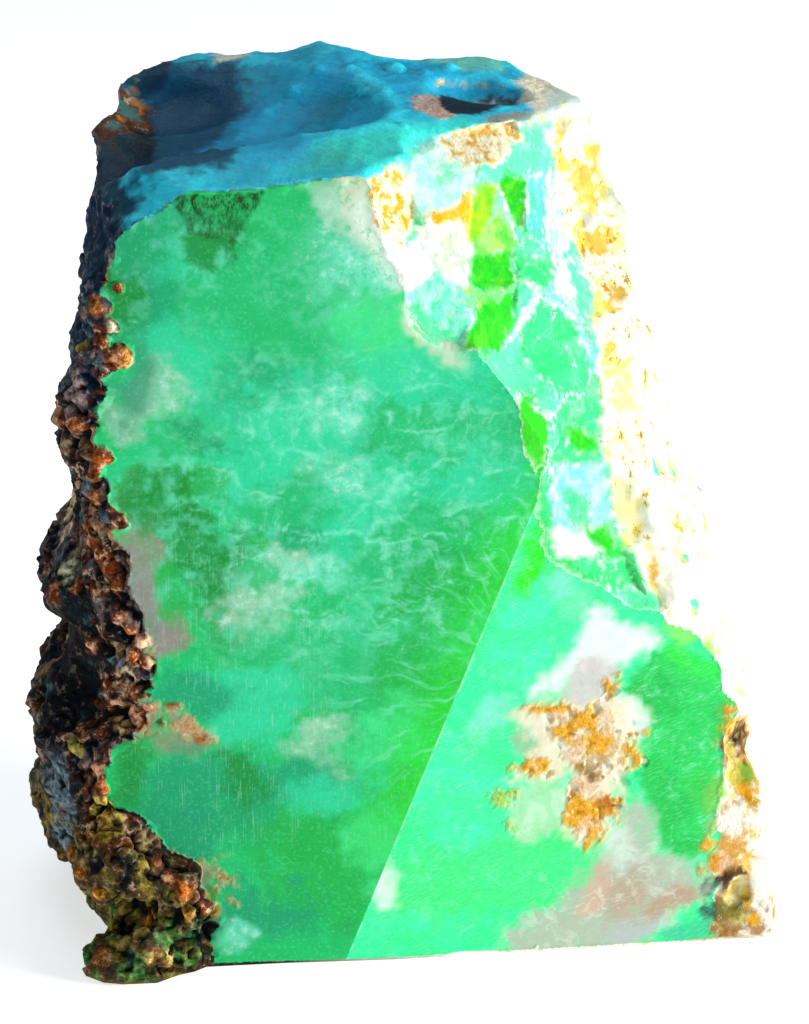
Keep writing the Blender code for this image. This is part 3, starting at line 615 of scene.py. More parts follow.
topMarks = [  # colour, strength, softness, raggedness in mm, outline seen from above
    # the dark teal, black and navy marks at the top's left are painted shade in its hollows
    ("topShade", 0.92, 2.4, 2, [(-30.5, 14), (-18.6, 14), (-18.2, 9.8), (-17.8, 5.4), (-18.6, 0),
        (-17.4, -6), (-16.6, -13), (-18.6, -18.4), (-23.6, -20.2), (-30, -20), (-30.5, 8)]),
    ("mid", 0.75, 3, 1.2, [(-18, -19.4), (-13, -19.8), (-9, -17), (-12, -8), (-18, -7)]),
    ("shadowBlack", 0.95, 1.6, 1.6, [(-38, 9.5), (-29.5, 9.4), (-28.7, 5.5), (-28.4, -3.5), (-28.6, -16.4),
        (-33, -15.3), (-38, -10)]),
    ("shadowNavy", 0.9, 0.8, 0.6, [(-38, 10), (-30.7, 9.8), (-27.5, 11.4), (-26.7, 14.5), (-30, 22), (-38, 22)]),
    ("rustDark", 0.8, 0.6, 2, [(-34, 9), (-29.6, 9.6), (-29.4, 5.4), (-33.9, 3.2)]),
    ("tealGlass", 0.8, 0.5, 2, [(-33.4, 7.6), (-31.2, 8), (-31, 6.4), (-33, 5.4)]),
    ("orangeTan", 0.8, 0.5, 2, [(-32, 9.4), (-30.4, 9.6), (-30, 7.6), (-31.4, 7.2)]),
    ("rustDark", 0.8, 0.6, 2.2, [(-36, 3), (-30.6, 4), (-31, 0.6), (-36, -1.4)]),
    ("tealGlass", 0.8, 0.5, 2, [(-34.6, 3), (-32.6, 3.4), (-32.4, 1.6), (-34.4, 0.6)]),
    ("orange", 0.8, 0.4, 2, [(-33, 5.2), (-31.8, 5.4), (-31.6, 4.2), (-32.8, 4)]),
    # this aqua mark along the front lip is a painted highlight
    ("topAqua", 0.8, 5, 1, [(-12, -21), (-8, -15), (0, -9), (8, -3), (12, -8), (0, -22)]),
    # this band is painted shade on the lower-left side of the ridge
    ("mid", 0.7, 2.2, 1, [(-23.1, -6), (-17.9, 4.6), (-12.8, 6.5), (-8.1, 9.5), (-6.4, 13.3), (-6.5, 7.3),
        (-9.6, 4), (-13, -1), (-17.4, -8.6), (-21.3, -10.1)]),
    ("mid", 0.6, 2, 1, [(-3, 6), (4, 9), (12, 10), (14, 7), (6, 5.5), (0, 2.5)]),
    # the black hole is painted shadow inside a cavity
    ("holeShadow", 0.97, 0.5, 0.5, [(4.4, -2.6), (4.6, 1.2), (5.8, 6.4), (10.8, 7.6), (14, 6.6), (13.2, 2),
        (9.4, -1.8), (6.5, -3.4)]),
    ("pinkRust", 0.9, 0.6, 1.2, [(1.2, -0.3), (3.4, 2.5), (4.8, 1.6), (4.8, -1.6), (6.7, -3.9),
        (4.6, -5.2), (2.4, -3.2)]),
    ("greenBack", 0.9, 2, 1, [(2.6, 11.6), (8.4, 10.8), (12.6, 12.4), (13, 19), (2, 19)]),
    ("rustCream", 0.8, 0.6, 1.2, [(-22, 13.6), (-18, 13.8), (-18, 16.5), (-22, 16.5)]),
    ("brownGlass", 0.9, 1, 0.8, [(10, -3), (13.5, 0), (17.4, 1), (17.4, -3), (13.5, -5), (11, -5.4)]),
    ("peachPale", 0.95, 1.2, 0.9, [(14.6, 9), (15.4, 2), (16.2, -3), (26, -6), (26, 22), (15.4, 22)]),
    ("rustCream", 0.7, 0.8, 1.4, [(14, 9), (15, 3), (16.8, 3), (17, 10), (15, 12)]),
]
bevelOutline = [  # bevel at the top left, painted dark as shade
    (-40, 96), (-30.7, 94.6), (-28.2, 94), (-30.8, 91.3), (-32.8, 88.1), (-34.2, 84), (-40, 84),
]
mainSpots = [  # colour, place across and up, half width, half height, tilt in degrees, softness
    ("haze", -28.8, 90.4, 6.7, 5.2, 0, 0.8), ("teal", -27.9, 82.8, 5.1, 8.7, 0, 0.9),
    ("aqua", -23.3, 88, 5, 3.5, 20, 0.9), ("emerald", -13.9, 80.8, 10.1, 9.9, 0, 0.35),
    ("emerald", -7.7, 83.7, 6.7, 4.6, 0, 0.6), ("deepTeal", -14, 70.8, 7, 4, 10, 0.35),
    ("bright", -1.5, 78.9, 5.1, 6.4, 0, 0.9), ("paleHaze", -6.5, 91.2, 4.5, 5.2, 0, 0.5),
    ("milk", -5.4, 85.4, 5.1, 2.5, -15, 0.8), ("cream", -6, 93.6, 3.4, 2.5, 0, 0.7),
    ("aqua", -25.8, 75.1, 6.2, 4.7, 0, 0.8), ("aqua", -8.9, 65.9, 14.8, 6.5, 0, 0.7),
    ("aqua", 2.4, 72.3, 10.8, 5.3, 0, 0.8), ("aqua", -15.8, 62.4, 16, 5.3, 0, 0.8),
    ("aqua", 8.2, 60.7, 6.9, 5.3, 0, 0.8), ("aqua", -5.6, 56.1, 10.3, 5.9, 0, 0.8),
    ("aqua", 2.5, 41.1, 7, 4.8, 20, 0.9), ("green", -28.4, 59, 4.8, 4.7, 0, 0.4),
    ("leaf", -25.6, 55.3, 3.4, 2.6, 0, 0.35), ("green", -22.6, 61.3, 2.9, 2.4, 0, 0.5),
    ("deepTeal", -23.1, 67.3, 2.7, 2.3, 0, 0.4), ("emerald", -26, 65.6, 3.4, 2.1, 0, 0.6),
    ("emerald", -1, 66.7, 4.3, 3.2, -25, 0.25), ("emerald", 8.1, 66.8, 6.8, 3.8, 5, 0.5),
    ("emerald", -13, 58.7, 6.9, 2.6, 0, 0.5), ("deepTeal", -15.3, 53.9, 4.6, 2.8, -10, 0.45),
    ("emerald", -7.8, 61.6, 2.5, 1.9, 0, 0.5), ("green", -17.6, 53.3, 3.9, 2.1, -10, 0.6),
    ("emerald", 5.9, 52.8, 9.2, 4.7, 8, 0.4), ("green", 6.5, 46, 8.1, 6, 15, 0.5),
    ("emerald", -1.6, 51.1, 4.6, 3.6, 0, 0.5), ("green", 0.7, 39.9, 8.7, 7.2, 0, 0.5),
    ("emerald", -7.4, 38.9, 5.2, 6, 0, 0.4), ("green", 3.6, 33.6, 6.4, 3.6, 0, 0.5),
    ("leaf", -20, 47.8, 3.2, 6.5, 0, 0.5), ("leaf", -23.4, 51.6, 4.6, 3.6, 0, 0.6),
    ("milk", -6.1, 70.6, 3.2, 2.8, -20, 0.7), ("milk", -5, 61, 3.9, 1.9, 30, 0.8),
    ("cream", -27.5, 72.4, 4.1, 3, 10, 0.7), ("cream", -31, 69.6, 2.5, 2.8, 0, 0.7),
    ("cream", -16.2, 45, 5.1, 3.6, 0, 0.35), ("cream", -14.1, 50.8, 2.3, 3.1, 0, 0.35),
    ("milk", -9.6, 50.1, 3.5, 1.8, 10, 0.7), ("emerald", -16.9, 48.7, 1.7, 1.8, 0, 0.2),
    ("emerald", -14.3, 39, 5.8, 4.2, 0, 0.7), ("aqua", -17.3, 35.3, 7, 2.4, 0, 0.8),
    ("cream", -9.2, 29.5, 3.3, 2.6, 0, 0.6), ("cream", -7.8, 25.2, 2.1, 1.5, 20, 0.6),
    ("teal", -24.2, 34.2, 5.8, 2.6, 0, 0.7), ("mauve", -24.9, 28.5, 5.3, 1.9, 5, 0.7),
    ("teal", -23.3, 23.4, 7, 3.6, 0, 0.6), ("leaf", -31.4, 24.9, 2.8, 4.8, 0, 0.6),
    ("teal", -25.7, 17.7, 5.3, 4.3, 0, 0.7), ("deepTeal", -17.5, 19.4, 4.7, 4.1, 0, 0.5),
    ("teal", -12.7, 23.8, 7, 3.6, 0, 0.7), ("leaf", -17.4, 23.9, 3, 2.7, 0, 0.5),
    ("green", -9.3, 16, 7.1, 3.7, 0, 0.6), ("green", -8.1, 10.2, 7.1, 5.1, -20, 0.6),
    ("teal", -16.4, 6.5, 7.1, 4.2, 0, 0.6), ("milk", -18.8, 3.9, 2.6, 1.7, 0, 0.8),
    ("bright", 0.2, 26.1, 5.3, 6, 20, 0.7), ("green", 0.1, 21, 3.5, 5.5, 30, 0.9),
    ("bright", -2.2, 14.6, 3.5, 4.9, 20, 0.8), ("mauve", -29.7, 51.7, 2.3, 7.3, -8, 0.35),
    ("mauve", -28.1, 43, 2.1, 4.8, -20, 0.4), ("mauve", -26.2, 40.5, 1.9, 1.4, 0, 0.6),
    ("peach", -24.9, 30.7, 3.7, 0.8, 12, 0.7), ("rust", -22.9, 29.3, 1.4, 0.7, 0, 0.5),
    ("rust", -28.1, 31.5, 0.7, 0.7, 0, 0.4), ("peach", -24.6, 11.2, 4.5, 2.7, 15, 0.5),
    ("rust", -26.9, 13.6, 1.9, 1.5, 20, 0.5), ("rust", -22.9, 8.6, 2.4, 1, 0, 0.5),
    ("leaf", -31.5, 84.5, 2.6, 5, 0, 0.8), ("deepTeal", -29.5, 89.5, 3, 3, 0, 0.8),
    ("glow", 16.2, 56, 1.9, 6, 6, 0.5), ("leaf", -27.8, 59, 3.4, 3.4, 0, 0.7),
    ("tealRim", -30.8, 73, 2.4, 4.6, 0, 0.9), ("green", -26.6, 46.7, 2.6, 3, 0, 0.8),
    ("leaf", -21.1, 89.7, 4, 2.2, 0, 0.8), ("aqua", -17.3, 31.5, 4, 2.8, 0, 0.8),
    ("aqua", -8.1, 21.2, 4.5, 2.8, 0, 0.8), ("leaf", -22.6, 10.2, 1.5, 2, 0, 0.6),
    ("sageYellow", -27, 41, 0.9, 0.7, 0, 0.7), ("rustDark", -27.4, 31.6, 0.5, 0.4, 0, 0.4),
    ("rustDark", -22.8, 29.6, 0.6, 0.4, 0, 0.4),
]
lowerSpots = [  # the same for the lower sawn face
    ("bright", 14.6, 46, 3, 9, 16, 0.8), ("glow", 15, 50, 1.6, 7, 16, 0.9),
    ("mint", 18.7, 46.8, 4.6, 7.2, 0, 0.8), ("mint", 8.4, 20.6, 8.3, 7.3, 40, 0.8),
    ("mint", 2.5, 7.8, 7.1, 4.9, 0, 0.8), ("bright", 17, 45, 3, 7.2, 20, 0.7),
    ("bright", 16.7, 13.5, 13.1, 3.4, -10, 0.7), ("bright", 4.9, 9.6, 8.3, 4.4, -10, 0.7),
    ("bright", 17.4, 9.5, 7.2, 3.2, -10, 0.6), ("mint", 15, 41.6, 4.6, 5.4, 30, 0.8),
    ("greenYellow", 35.6, 20, 1.6, 4.4, 0, 0.6), ("milk", 19.9, 45.8, 2.6, 2.2, 20, 0.8),
    ("glow", 15.3, 49.8, 1.4, 4.2, 16, 0.8), ("milk", 10.7, 30.8, 2.4, 3.8, 35, 0.8),
    ("limePale", 33.4, 40.6, 2.4, 1.5, -35, 0.6), ("snow", -1.6, 10, 1.9, 2.7, 0, 0.8),
]
mainMarks = [  # colour, strength, softness, raggedness in mm, outline seen from the front
    ("cream", 0.8, 1.4, 0.8, [(-10.4, 95.8), (-4.7, 96.7), (-3.6, 93.5), (-1.9, 88.4), (-4.4, 88.2),
        (-8.5, 91.4)]),
    ("peachPale", 0.6, 2.4, 1, [(-6.8, 96.4), (-3.4, 97), (-3, 92.5), (-0.9, 88), (-2.4, 87.6),
        (-5.6, 91.4)]),
    ("creamWhite", 0.55, 2.2, 0.8, [(1, 81.8), (3, 79.5), (6.1, 77), (7.6, 74.2), (4.7, 75), (1, 78.5)]),
    ("mauveGrey", 0.75, 1.2, 1, [(-32.9, 53.7), (-30.5, 54.1), (-28.4, 49.7), (-27.7, 44.4), (-25.1, 41.9),
        (-25.9, 39.8), (-27.8, 39.5), (-29.6, 44), (-31.1, 46.1), (-32.2, 49.9)]),
    ("rust", 0.9, 0.6, 0.8, [(-34, 32.8), (-31.1, 33.8), (-28.3, 34.1), (-28.3, 32.5), (-29.5, 29.6),
        (-31.6, 29.9), (-33.7, 29.9)]),
    ("mauve", 0.7, 1.2, 0.9, [(-31.5, 34), (-28.7, 34.6), (-28, 32.1), (-29.2, 30), (-31.1, 29.6),
        (-32.5, 30.8)]),
    ("peach", 0.8, 1, 0.9, [(-26.8, 31.8), (-23.4, 30.7), (-21.1, 30.3), (-20.8, 29), (-22.7, 28.4),
        (-25, 29.5), (-27.2, 30.6)]),
    ("rustDark", 0.9, 0.3, 0.4, [(-28.3, 31.9), (-27.5, 31.8), (-27.5, 30.9), (-28.2, 30.9)]),
    ("rust", 0.9, 0.4, 0.5, [(-24, 29.5), (-22.7, 29.7), (-22.3, 28.9), (-23.4, 28.6)]),
    ("mauve", 0.8, 1.8, 0.8, [(-27.9, 14), (-26.4, 14.4), (-22.9, 12.6), (-21.8, 13), (-22.6, 10.5),
        (-24.1, 9.4), (-26.3, 11.5)]),
    ("rust", 0.9, 0.5, 0.8, [(-29.2, 15), (-27.7, 14.3), (-27.5, 13.4), (-28.6, 13.3)]),
    ("rust", 0.9, 0.5, 1, [(-27.4, 11.6), (-25.2, 10.3), (-23, 9.6), (-22.6, 8), (-25.2, 8.8)]),
    ("snow", 0.75, 2.2, 0.7, [(-4.2, 94.2), (-3, 91.7), (-0.9, 87.1), (0.4, 83.7), (-0.5, 83.6),
        (-2.6, 86.6), (-4.3, 89.7), (-5.2, 92.5)]),
    ("creamWhite", 0.6, 2.4, 1, [(0.6, 81), (2.9, 79.5), (6, 77.1), (7.1, 75.1), (4.8, 75.7), (1.8, 78.2)]),
    ("snow", 0.5, 1.6, 0.8, [(1, 81.3), (3.3, 79.8), (6, 77.8), (6.3, 77), (3.7, 77.9), (1, 80.2)]),
]
lowerMarks = [  # the same for the lower sawn face
    ("snow", 0.95, 2, 1, [(22, 44.5), (23.9, 44.8), (25.5, 42.2), (29.1, 41.2), (30.3, 39.8), (29.6, 38.6),
        (26, 37.1), (23.7, 36.3), (21.3, 36), (19, 34.4), (15.4, 33.7), (15, 35.1), (17.4, 36.7),
        (19.7, 38.2), (21.2, 40.7)]),
    ("lilac", 0.9, 1.4, 0.8, [(21.7, 38.1), (24.4, 38.4), (25.7, 36.2), (24.1, 32.4), (22.6, 31.2),
        (19.8, 31.4), (19, 33.6), (20.5, 36.1)]),
    ("sageGrey", 0.85, 1.8, 1.2, [(13.9, 29.5), (16.6, 31.1), (19, 31.4), (20.6, 30.4), (19.5, 27.9),
        (17.5, 26.3), (15.1, 26), (13.5, 27.6)]),
    ("sage", 0.75, 1.6, 1, [(15.1, 22.9), (18.3, 23.2), (19.6, 20.5), (19, 16.5), (16.8, 14.9), (14, 15.1),
        (12.4, 16.9), (13.2, 20)]),
    ("sandPink", 0.95, 1.8, 1.4, [(19, 30.5), (21.4, 32.1), (24.1, 33.7), (26.9, 33.3), (28.7, 31.7),
        (28.6, 28.7), (28.8, 27), (27.1, 23.6), (26, 20.1), (26.4, 18.8), (24.4, 15.8), (22.1, 13.7),
        (19.2, 16.5), (19.2, 19.6), (20.7, 23), (20.3, 25.7), (18.3, 26.7)]),
    ("fog", 0.9, 3.4, 1.7, [(26.4, 19.2), (29.6, 18.1), (30.9, 12.7), (34.6, 11.6), (36.7, 9.3),
        (36.8, 6.6), (33.1, 5), (32.4, 2.8), (26, -1), (11.3, -0.5), (13.3, 3.5), (19.3, 6.7),
        (22.5, 10.6), (24.5, 13.6)]),
    ("pink", 0.85, 1.4, 0.8, [(22.3, 8.8), (23.3, 11.4), (24.9, 11.8), (25, 6.8), (23.4, 3.8),
        (21.4, 4.4)]),
    ("pinkGrey", 0.7, 3, 1.4, [(24.5, 9.6), (28.6, 10.4), (30.6, 7), (28, 3.4), (25, 4)]),
    ("snow", 0.5, 2.6, 1.2, [(24.4, 16.4), (27.6, 16), (28.2, 11.6), (26, 9.6), (24.4, 12.6)]),
    ("pinkGrey", 0.85, 1.6, 0.8, [(29.1, 4.3), (32.3, 7.7), (35.5, 8.4), (36.4, 6.1), (33.6, 4.5),
        (31.2, 2.4)]),
    ("lilacGrey", 0.8, 1.8, 1, [(25.5, 1.9), (32.4, 3.7), (33.6, 2.3), (30, 0.4), (25.5, -0.5)]),
    ("greyTeal", 0.9, 0.8, 0.7, [(32, 1.5), (35.6, 3.5), (37.7, 2.9), (38.1, 1.1), (36, -0.5),
        (32.8, -0.5)]),
    ("fern", 0.92, 1.3, 0.9, [(26.1, 34.5), (27.6, 36.1), (30.8, 38.9), (32.3, 39.3), (34.7, 37.7),
        (37.2, 36.9), (38.9, 34.4), (40.2, 31.7), (38.9, 30.8), (38.4, 28.2), (38.1, 23.8), (37.6, 21.2),
        (36.8, 18.6), (37.1, 15.5), (35.8, 12.9), (34.6, 11.6), (33, 12.2), (31.3, 13.2), (30.7, 15.9),
        (29.6, 18.1), (29, 20.4), (28.3, 22.6), (28.1, 24.8), (28.8, 26.1), (29.4, 27.8), (29, 29.6),
        (28.7, 31.3), (28.8, 32.8), (26.9, 33.1)]),
    ("glow", 0.7, 1.6, 0.8, [(30.4, 38.9), (32.3, 39.5), (34.7, 37.9), (37.6, 36.8), (38.9, 34.2),
        (37.2, 34.7), (34, 35.8), (31.6, 36.8)]),
    ("oliveGreen", 0.8, 0.8, 1, [(36, 21.3), (37.9, 22.9), (39.5, 21), (39.3, 19.3), (37.7, 16.8),
        (36.1, 16.9)]),
    ("sandPink", 0.85, 1.4, 1.4, [(12.6, 31.6), (17, 33.4), (21, 32.6), (21.6, 26.6), (18.6, 22.6),
        (13, 22.6), (16.6, 27.6)]),
    ("snow", 0.6, 1.6, 1.2, [(25.4, 33.8), (28.4, 33.4), (29.6, 29.4), (28.6, 24.6), (27.4, 29.4)]),
    ("pinkCream", 0.75, 0.7, 1.3, [(17.4, 31), (21.4, 32.6), (25.4, 30.2), (26.6, 27.4), (24, 21.6),
        (26.4, 19.4), (24, 14.6), (21, 15.6), (19.6, 19.6), (21.6, 24.4), (18.6, 26.6)]),
    ("amber", 0.95, 0.5, 0.8, [(13.9, 32.1), (17, 32.9), (19.4, 32.6), (20.2, 31.6), (18.6, 31.6),
        (15.8, 31.4)]),
    ("amber", 0.95, 0.6, 1.1, [(18.4, 29.3), (20.6, 30), (21.2, 31.7), (23, 31.8), (23, 29.9),
        (21.6, 28.2), (20.9, 26.5), (18.7, 27.3), (17.7, 28.4)]),
    ("amber", 0.95, 0.6, 1.1, [(21.6, 27.4), (22.2, 28.6), (24.2, 29.4), (25, 27.2), (24.3, 25.5),
        (22.5, 26.2)]),
    ("amber", 0.95, 0.6, 1.1, [(13.1, 25), (15.1, 25.3), (17.5, 25.6), (18.5, 24), (17.5, 22.6),
        (15.5, 23.1), (13.7, 23.9)]),
    ("amber", 0.95, 0.6, 1.1, [(26.1, 25.8), (27.8, 27), (29.2, 28.9), (29.8, 28), (28.4, 26.1),
        (28.5, 24.4), (27.3, 23.1), (26.3, 24.5)]),
    ("rustPit", 0.95, 0.4, 0.6, [(20.9, 25.2), (22.3, 25.1), (23.1, 23.8), (24.4, 22.6), (23.7, 21.6),
        (22.3, 23), (21.1, 23)]),
    ("amber", 0.95, 0.6, 1.1, [(19.4, 19.6), (21.5, 20.6), (23.2, 19.8), (25.2, 20.4), (26.6, 19.4),
        (25.8, 17.3), (23.6, 16.9), (20.8, 16.7), (19.6, 16.1), (19, 18.3)]),
    ("rustPit", 0.9, 0.4, 0.6, [(24, 20.2), (25.6, 19.7), (25.4, 18.2), (24.2, 18.5)]),
    ("amber", 0.95, 0.5, 0.9, [(22.6, 15.9), (24.4, 16.7), (24.3, 14.5), (22.5, 13), (21.9, 13.9)]),
    ("amber", 0.95, 0.5, 0.6, [(23.6, 35), (24.9, 35.7), (26, 36), (25.8, 34.1), (24.9, 32.7),
        (24.1, 33.5)]),
    ("rustPit", 0.9, 0.3, 0.4, [(23.7, 34.8), (24.2, 34.9), (24.5, 33.7), (24.1, 33.5)]),
    ("sageYellow", 0.8, 0.6, 0.9, [(11.2, 21.4), (14, 21.5), (14.4, 20.1), (13.2, 19.1), (11.6, 19),
        (10.8, 20.5)]),
    ("sageYellow", 0.8, 0.6, 0.9, [(12, 18.1), (13.6, 18.4), (13.6, 16.4), (12.2, 16.5)]),
]
stainOutline = [  # dark stain under the top edge
    (-24.6, 93.6), (-24.5, 94.8), (-14.9, 95.1), (-16.6, 92.6), (-17.7, 90.3), (-18.2, 87.1), (-19.3, 86.4),
    (-19.7, 89.7), (-21.3, 89.7), (-23.3, 90.5),
]


def paintStone(stone):
    mesh = stone.data
    points, normals, ends = readPoints(mesh), readNormals(mesh), readEdges(mesh)
    zone = zones(points, normals)
    x, y, z = points.T
    count = len(points)
    every = np.ones(count)
    coats = {name: np.zeros((count, 3)) for name in ("rest", "main", "lower")}
    crusty = np.zeros(count)

    # places drift a little, so that no border runs smooth
    shift = clouds(points, 6.5, 2, (61.0, 71.0, 83.0))
    small = clouds(points, 2.0, 2, (62.0, 72.0, 84.0))
    tiny = clouds(points, 0.9, 3, (63.0, 73.0, 85.0))
    loose = points + 2.6 * shift + 0.9 * small
    tight = points + 0.5 * shift + 0.35 * small
    off = points + 0.55 * small + 0.30 * tiny
    patch = cloud(points, 5.0, 4, 91.0)
    ragged = cloud(points, 1.7, 4, 87.0)
    crumbly = 0.9 * ragged + 0.5 * cloud(points, 0.9, 2, 89.0)
    hollow, deep = (np.einsum("ij,ij->i", averaged(points, ends, rounds) - points, normals)
                    for rounds in (3, 24))

    # parts of the rind: behind, on the left side, beside the sawn face, and calm at the top left
    stray = 10.0 * cloud(points, 9.0, 4, 127.0) * smooth(-4.0, 6.0, y) - 4.0 * smooth(60.0, 80.0, z)
    behind = smooth(4.0, 11.0, y + stray) * smooth(94.0, 88.0, z)
    back = smooth(3.0, 10.0, y + stray)
    side = smooth(14.0, -16.0, x + 4.0 * patch + 9.0 * cloud(points, 12.0, 3, 125.0) * smooth(0.0, 10.0, y))
    bordering = smooth(-9.0, -3.0, x - edgeAt(leftEdge, z)) * smooth(-8.0, -16.0, y)
    calm = spotMask(points, (-34.0, -17.0, 90.0), (9.0, 12.0, 9.0), 0, 0.5, 0.3 * patch)
    calm = np.maximum(calm, spotMask(points, (-38.0, -12.0, 80.0), (4.0, 14.0, 9.0), 0, 0.6, 0.3 * patch))

    def lay(coat, name, mask):
        nonlocal crusty
        mask = np.clip(mask, 0.0, 1.0)
        coats[coat] = coats[coat] * (1.0 - mask[:, None]) + linear(tones[name]) * mask[:, None]
        on = mask * (1.0 - zone["sawn"] if coat == "rest" else zone[coat])
        crusty = np.maximum(crusty, on) if name in crustTones else crusty * (1.0 - on)

    def layRest(*layers):
        for name, mask in layers:
            lay("rest", name, mask)

    def paintRind():  # white on the right, cream crust painted near white as if sunlit; tan behind; dark ledges on the left over a base painted dark as shade
        broad = cloud(points, 13.0, 3, 121.0)
        layRest(
            ("creamRind", every),
            ("rindTan", smooth(0.0, 0.5, patch) * 0.5 * smooth(6.0, 14.0, y)),
            ("rindTan", back * 0.55),
            ("brownTan", back * smooth(0.02, 0.22, broad) * 0.75),
            ("greyTan", back * smooth(-0.05, -0.25, broad) * 0.7),
            ("tealRim", back * smooth(0.05, 0.01, np.abs(cloud(points, 10.0, 4, 123.0))) * 0.8),
            # the left side's near-black base and its navy upper part are painted shade
            ("rindShadeDark", side),
            ("shadeNavyBlue", side * np.maximum(smooth(66.0, 76.0, z + 6.0 * patch), calm)),
            ("brownDark", side * back * smooth(-0.10, 0.20, broad) * 0.6),
            ("blueGrey", side * back * smooth(-0.05, -0.30, broad) * 0.35))
        drifted = (points + 0.9 * shift + 0.5 * tiny) * np.array([0.85, 1.0, 1.5])
        gap, chance = shards(drifted, stonePlan["shardSize"], 15.0)
        ledge = side * (1.0 - 0.8 * calm) * smooth(0.02, 0.10, gap) * (1.0 - 0.55 * back)
        ledge = ledge * (0.50 + 0.35 * ragged) * (0.55 + 0.45 * bordering)
        low = 0.0
        for name, high in ledgeTones:
            lay("rest", name, ledge * ((chance >= low) & (chance < high)))
            low = high

    def paintNodules():  # hollows and pits painted black as shade, moss-coloured foot, rust, then each placed mark and nodule
        void = spotMask(tight, (-38.5, -12.0, 35.5), (4.6, 8.0, 8.6), 0, 0.3, 0.35 * ragged)
        slate = spotMask(tight, (-39.6, -13.0, 20.0), (3.4, 8.0, 5.2), 0, 0.4, 0.6 * ragged)
        mossy = side * smooth(20.0, 14.0, z) * smooth(-21.0, -27.0, x) * smooth(4.0, -4.0, y)
        warm = smooth(0.0, 0.3, cloud(points, 2.4, 3, 103.0) + 0.35 * bordering - 0.25) * (1.0 - calm)
        warm = warm * (1.0 - void) * (1.0 - slate) * (1.0 - 0.6 * mossy)
        layRest(
            ("oliveDark", mossy * 0.7),
            ("olive", mossy * smooth(-0.05, 0.25, cloud(points, 2.6, 3, 131.0)) * 0.8),
            ("greenGlass",
             mossy * smooth(0.08, 0.28, cloud(points, 3.2, 3, 133.0)) * smooth(11.0, 5.0, z) * 0.8),
            # the void is a hollow painted black as shadow
            ("black", void),
            ("blueGrey", slate * (0.45 + 0.5 * smooth(-0.3, 0.3, patch))),
            ("rustDark", side * warm * smooth(-0.1, 0.25, ragged) * 0.9))
        for name, place, radius in patches:
            far = np.linalg.norm(tight - np.array(place), axis=1) / (1.25 * radius) + 0.4 * ragged
            lay("rest", name, smooth(1.1, 0.9, far) * 0.95)
        for name, place, size, tilt, soft in rindSpots:
            bite = crumbly * 0.9 if name in crustTones else ragged * 0.5
            lay("rest", name, spotMask(tight, place, size, tilt, soft, bite) * 0.9)
        for name, place, radius in knobs:
            far = np.linalg.norm(tight - np.array(place), axis=1) / radius + 0.6 * ragged
            lay("rest", "rustDark", smooth(1.35, 1.1, far) * 0.85)
            lay("rest", name, smooth(0.95, 0.7, far))
            warm = np.maximum(warm, smooth(1.2, 0.9, far))
        pit = smooth(0.05, 0.22, deep) + smooth(0.03, 0.10, hollow)
        amberPit = smooth(0.04, 0.16, deep + 0.10 * ragged) * smooth(-6.0, 4.0, x)
        amberPit = amberPit * (1 - side) * (1 - behind) * zone["rind"]
        layRest(
            # black in the left rind's pits is painted shade
            ("shadowBlack", pit * side * zone["rind"] * 0.9),
            ("amber", amberPit * smooth(16.0, 8.0, y) * smooth(60.0, 76.0, z)),
            ("yellow", amberPit * 0.6))
        return warm

    def paintFacets():  # panes of the shoulder and their bright edges, partly painted highlights, over its plain colour and the top's, which is painted sky light and shade
        layRest(
            ("shoulderGreen", zone["shoulder"]),
            # the top's blue is painted cool sky light on a face in shade; the lip colour on its raised
            # places is a painted highlight, the dark in its hollows painted shade
            ("topSkyShade", zone["top"]),
            ("lip", zone["top"] * smooth(0.0, -0.12, deep) * 0.8),
            ("dark", zone["top"] * smooth(0.02, 0.18, deep + 0.04 * ragged) * 0.4),
            ("mid", zone["top"] * smooth(0.1, 0.5, patch) * 0.6))
        broken, vivid, limey = np.zeros(count), np.zeros(count), np.zeros(count)
        spark = smooth(-0.05, 0.30, cloud(points, 0.8, 3, 93.0))
        shown = np.clip(1.0 - zone["right"], 0, 1) * smooth(8.0, 4.0, y)
        flaw = cloud(points, 1.8, 4, 111.0)
        speck = smooth(0.06, 0.20, cloud(points, 0.9, 3, 113.0) + 0.7 * flaw)
        for name, sink, outline in facets:
            other, share, lime = paneGleam[name]
            mask = outlineMask(off[:, 0], off[:, 2], outline, 1.0) * shown
            inside = speck if name in crustTones else smooth(-0.25, 0.40, flaw)
            layRest(
                (name, mask * 0.97),
                (other, mask * inside * share),
                # white sparks round each pane's edge are painted glints
                ("white", mask * (1.0 - mask) * 4.0 * spark * shown * (0.25 if "lime" in name else 0.55)))
            broken = np.maximum(broken, mask)
            limey = np.maximum(limey * (1.0 - mask), mask * lime)
            vivid = np.maximum(vivid * (1.0 - mask), mask * (name in vividPanes))
        # the bright broken edges are partly pale stone and partly painted highlights
        for name, outline in arrises:
            edge = outlineMask(off[:, 0], off[:, 2], outline, 0.4) * shown
            lay("rest", name, edge * (0.35 + 0.65 * spark))
        return broken, vivid, limey

    def paintTop():  # the marks of the top face, with painted shade in its hollows and a lip painted lighter, and its bevel painted dark as shade
        upper = zone["top"] * (1.0 - broken)
        # the lip along the front is painted lighter, as a highlight from the sky
        lay("rest", "lip", upper * smooth(-9.0, -13.0, y - 0.42 * np.abs(x + 12.0)) * 0.8)
        for name, strength, soft, bite, outline in topMarks:
            edge = points + bite * (0.6 * small + 0.5 * tiny)
            lay("rest", name, outlineMask(edge[:, 0], edge[:, 1], outline, soft) * upper * strength)
        bevel = outlineMask(off[:, 0], off[:, 2], bevelOutline, 1.0) * (1.0 - zone["sawn"])
        lay("rest", "shadeNavyBlue", bevel * smooth(0.0, -6.0, y) * 0.95)

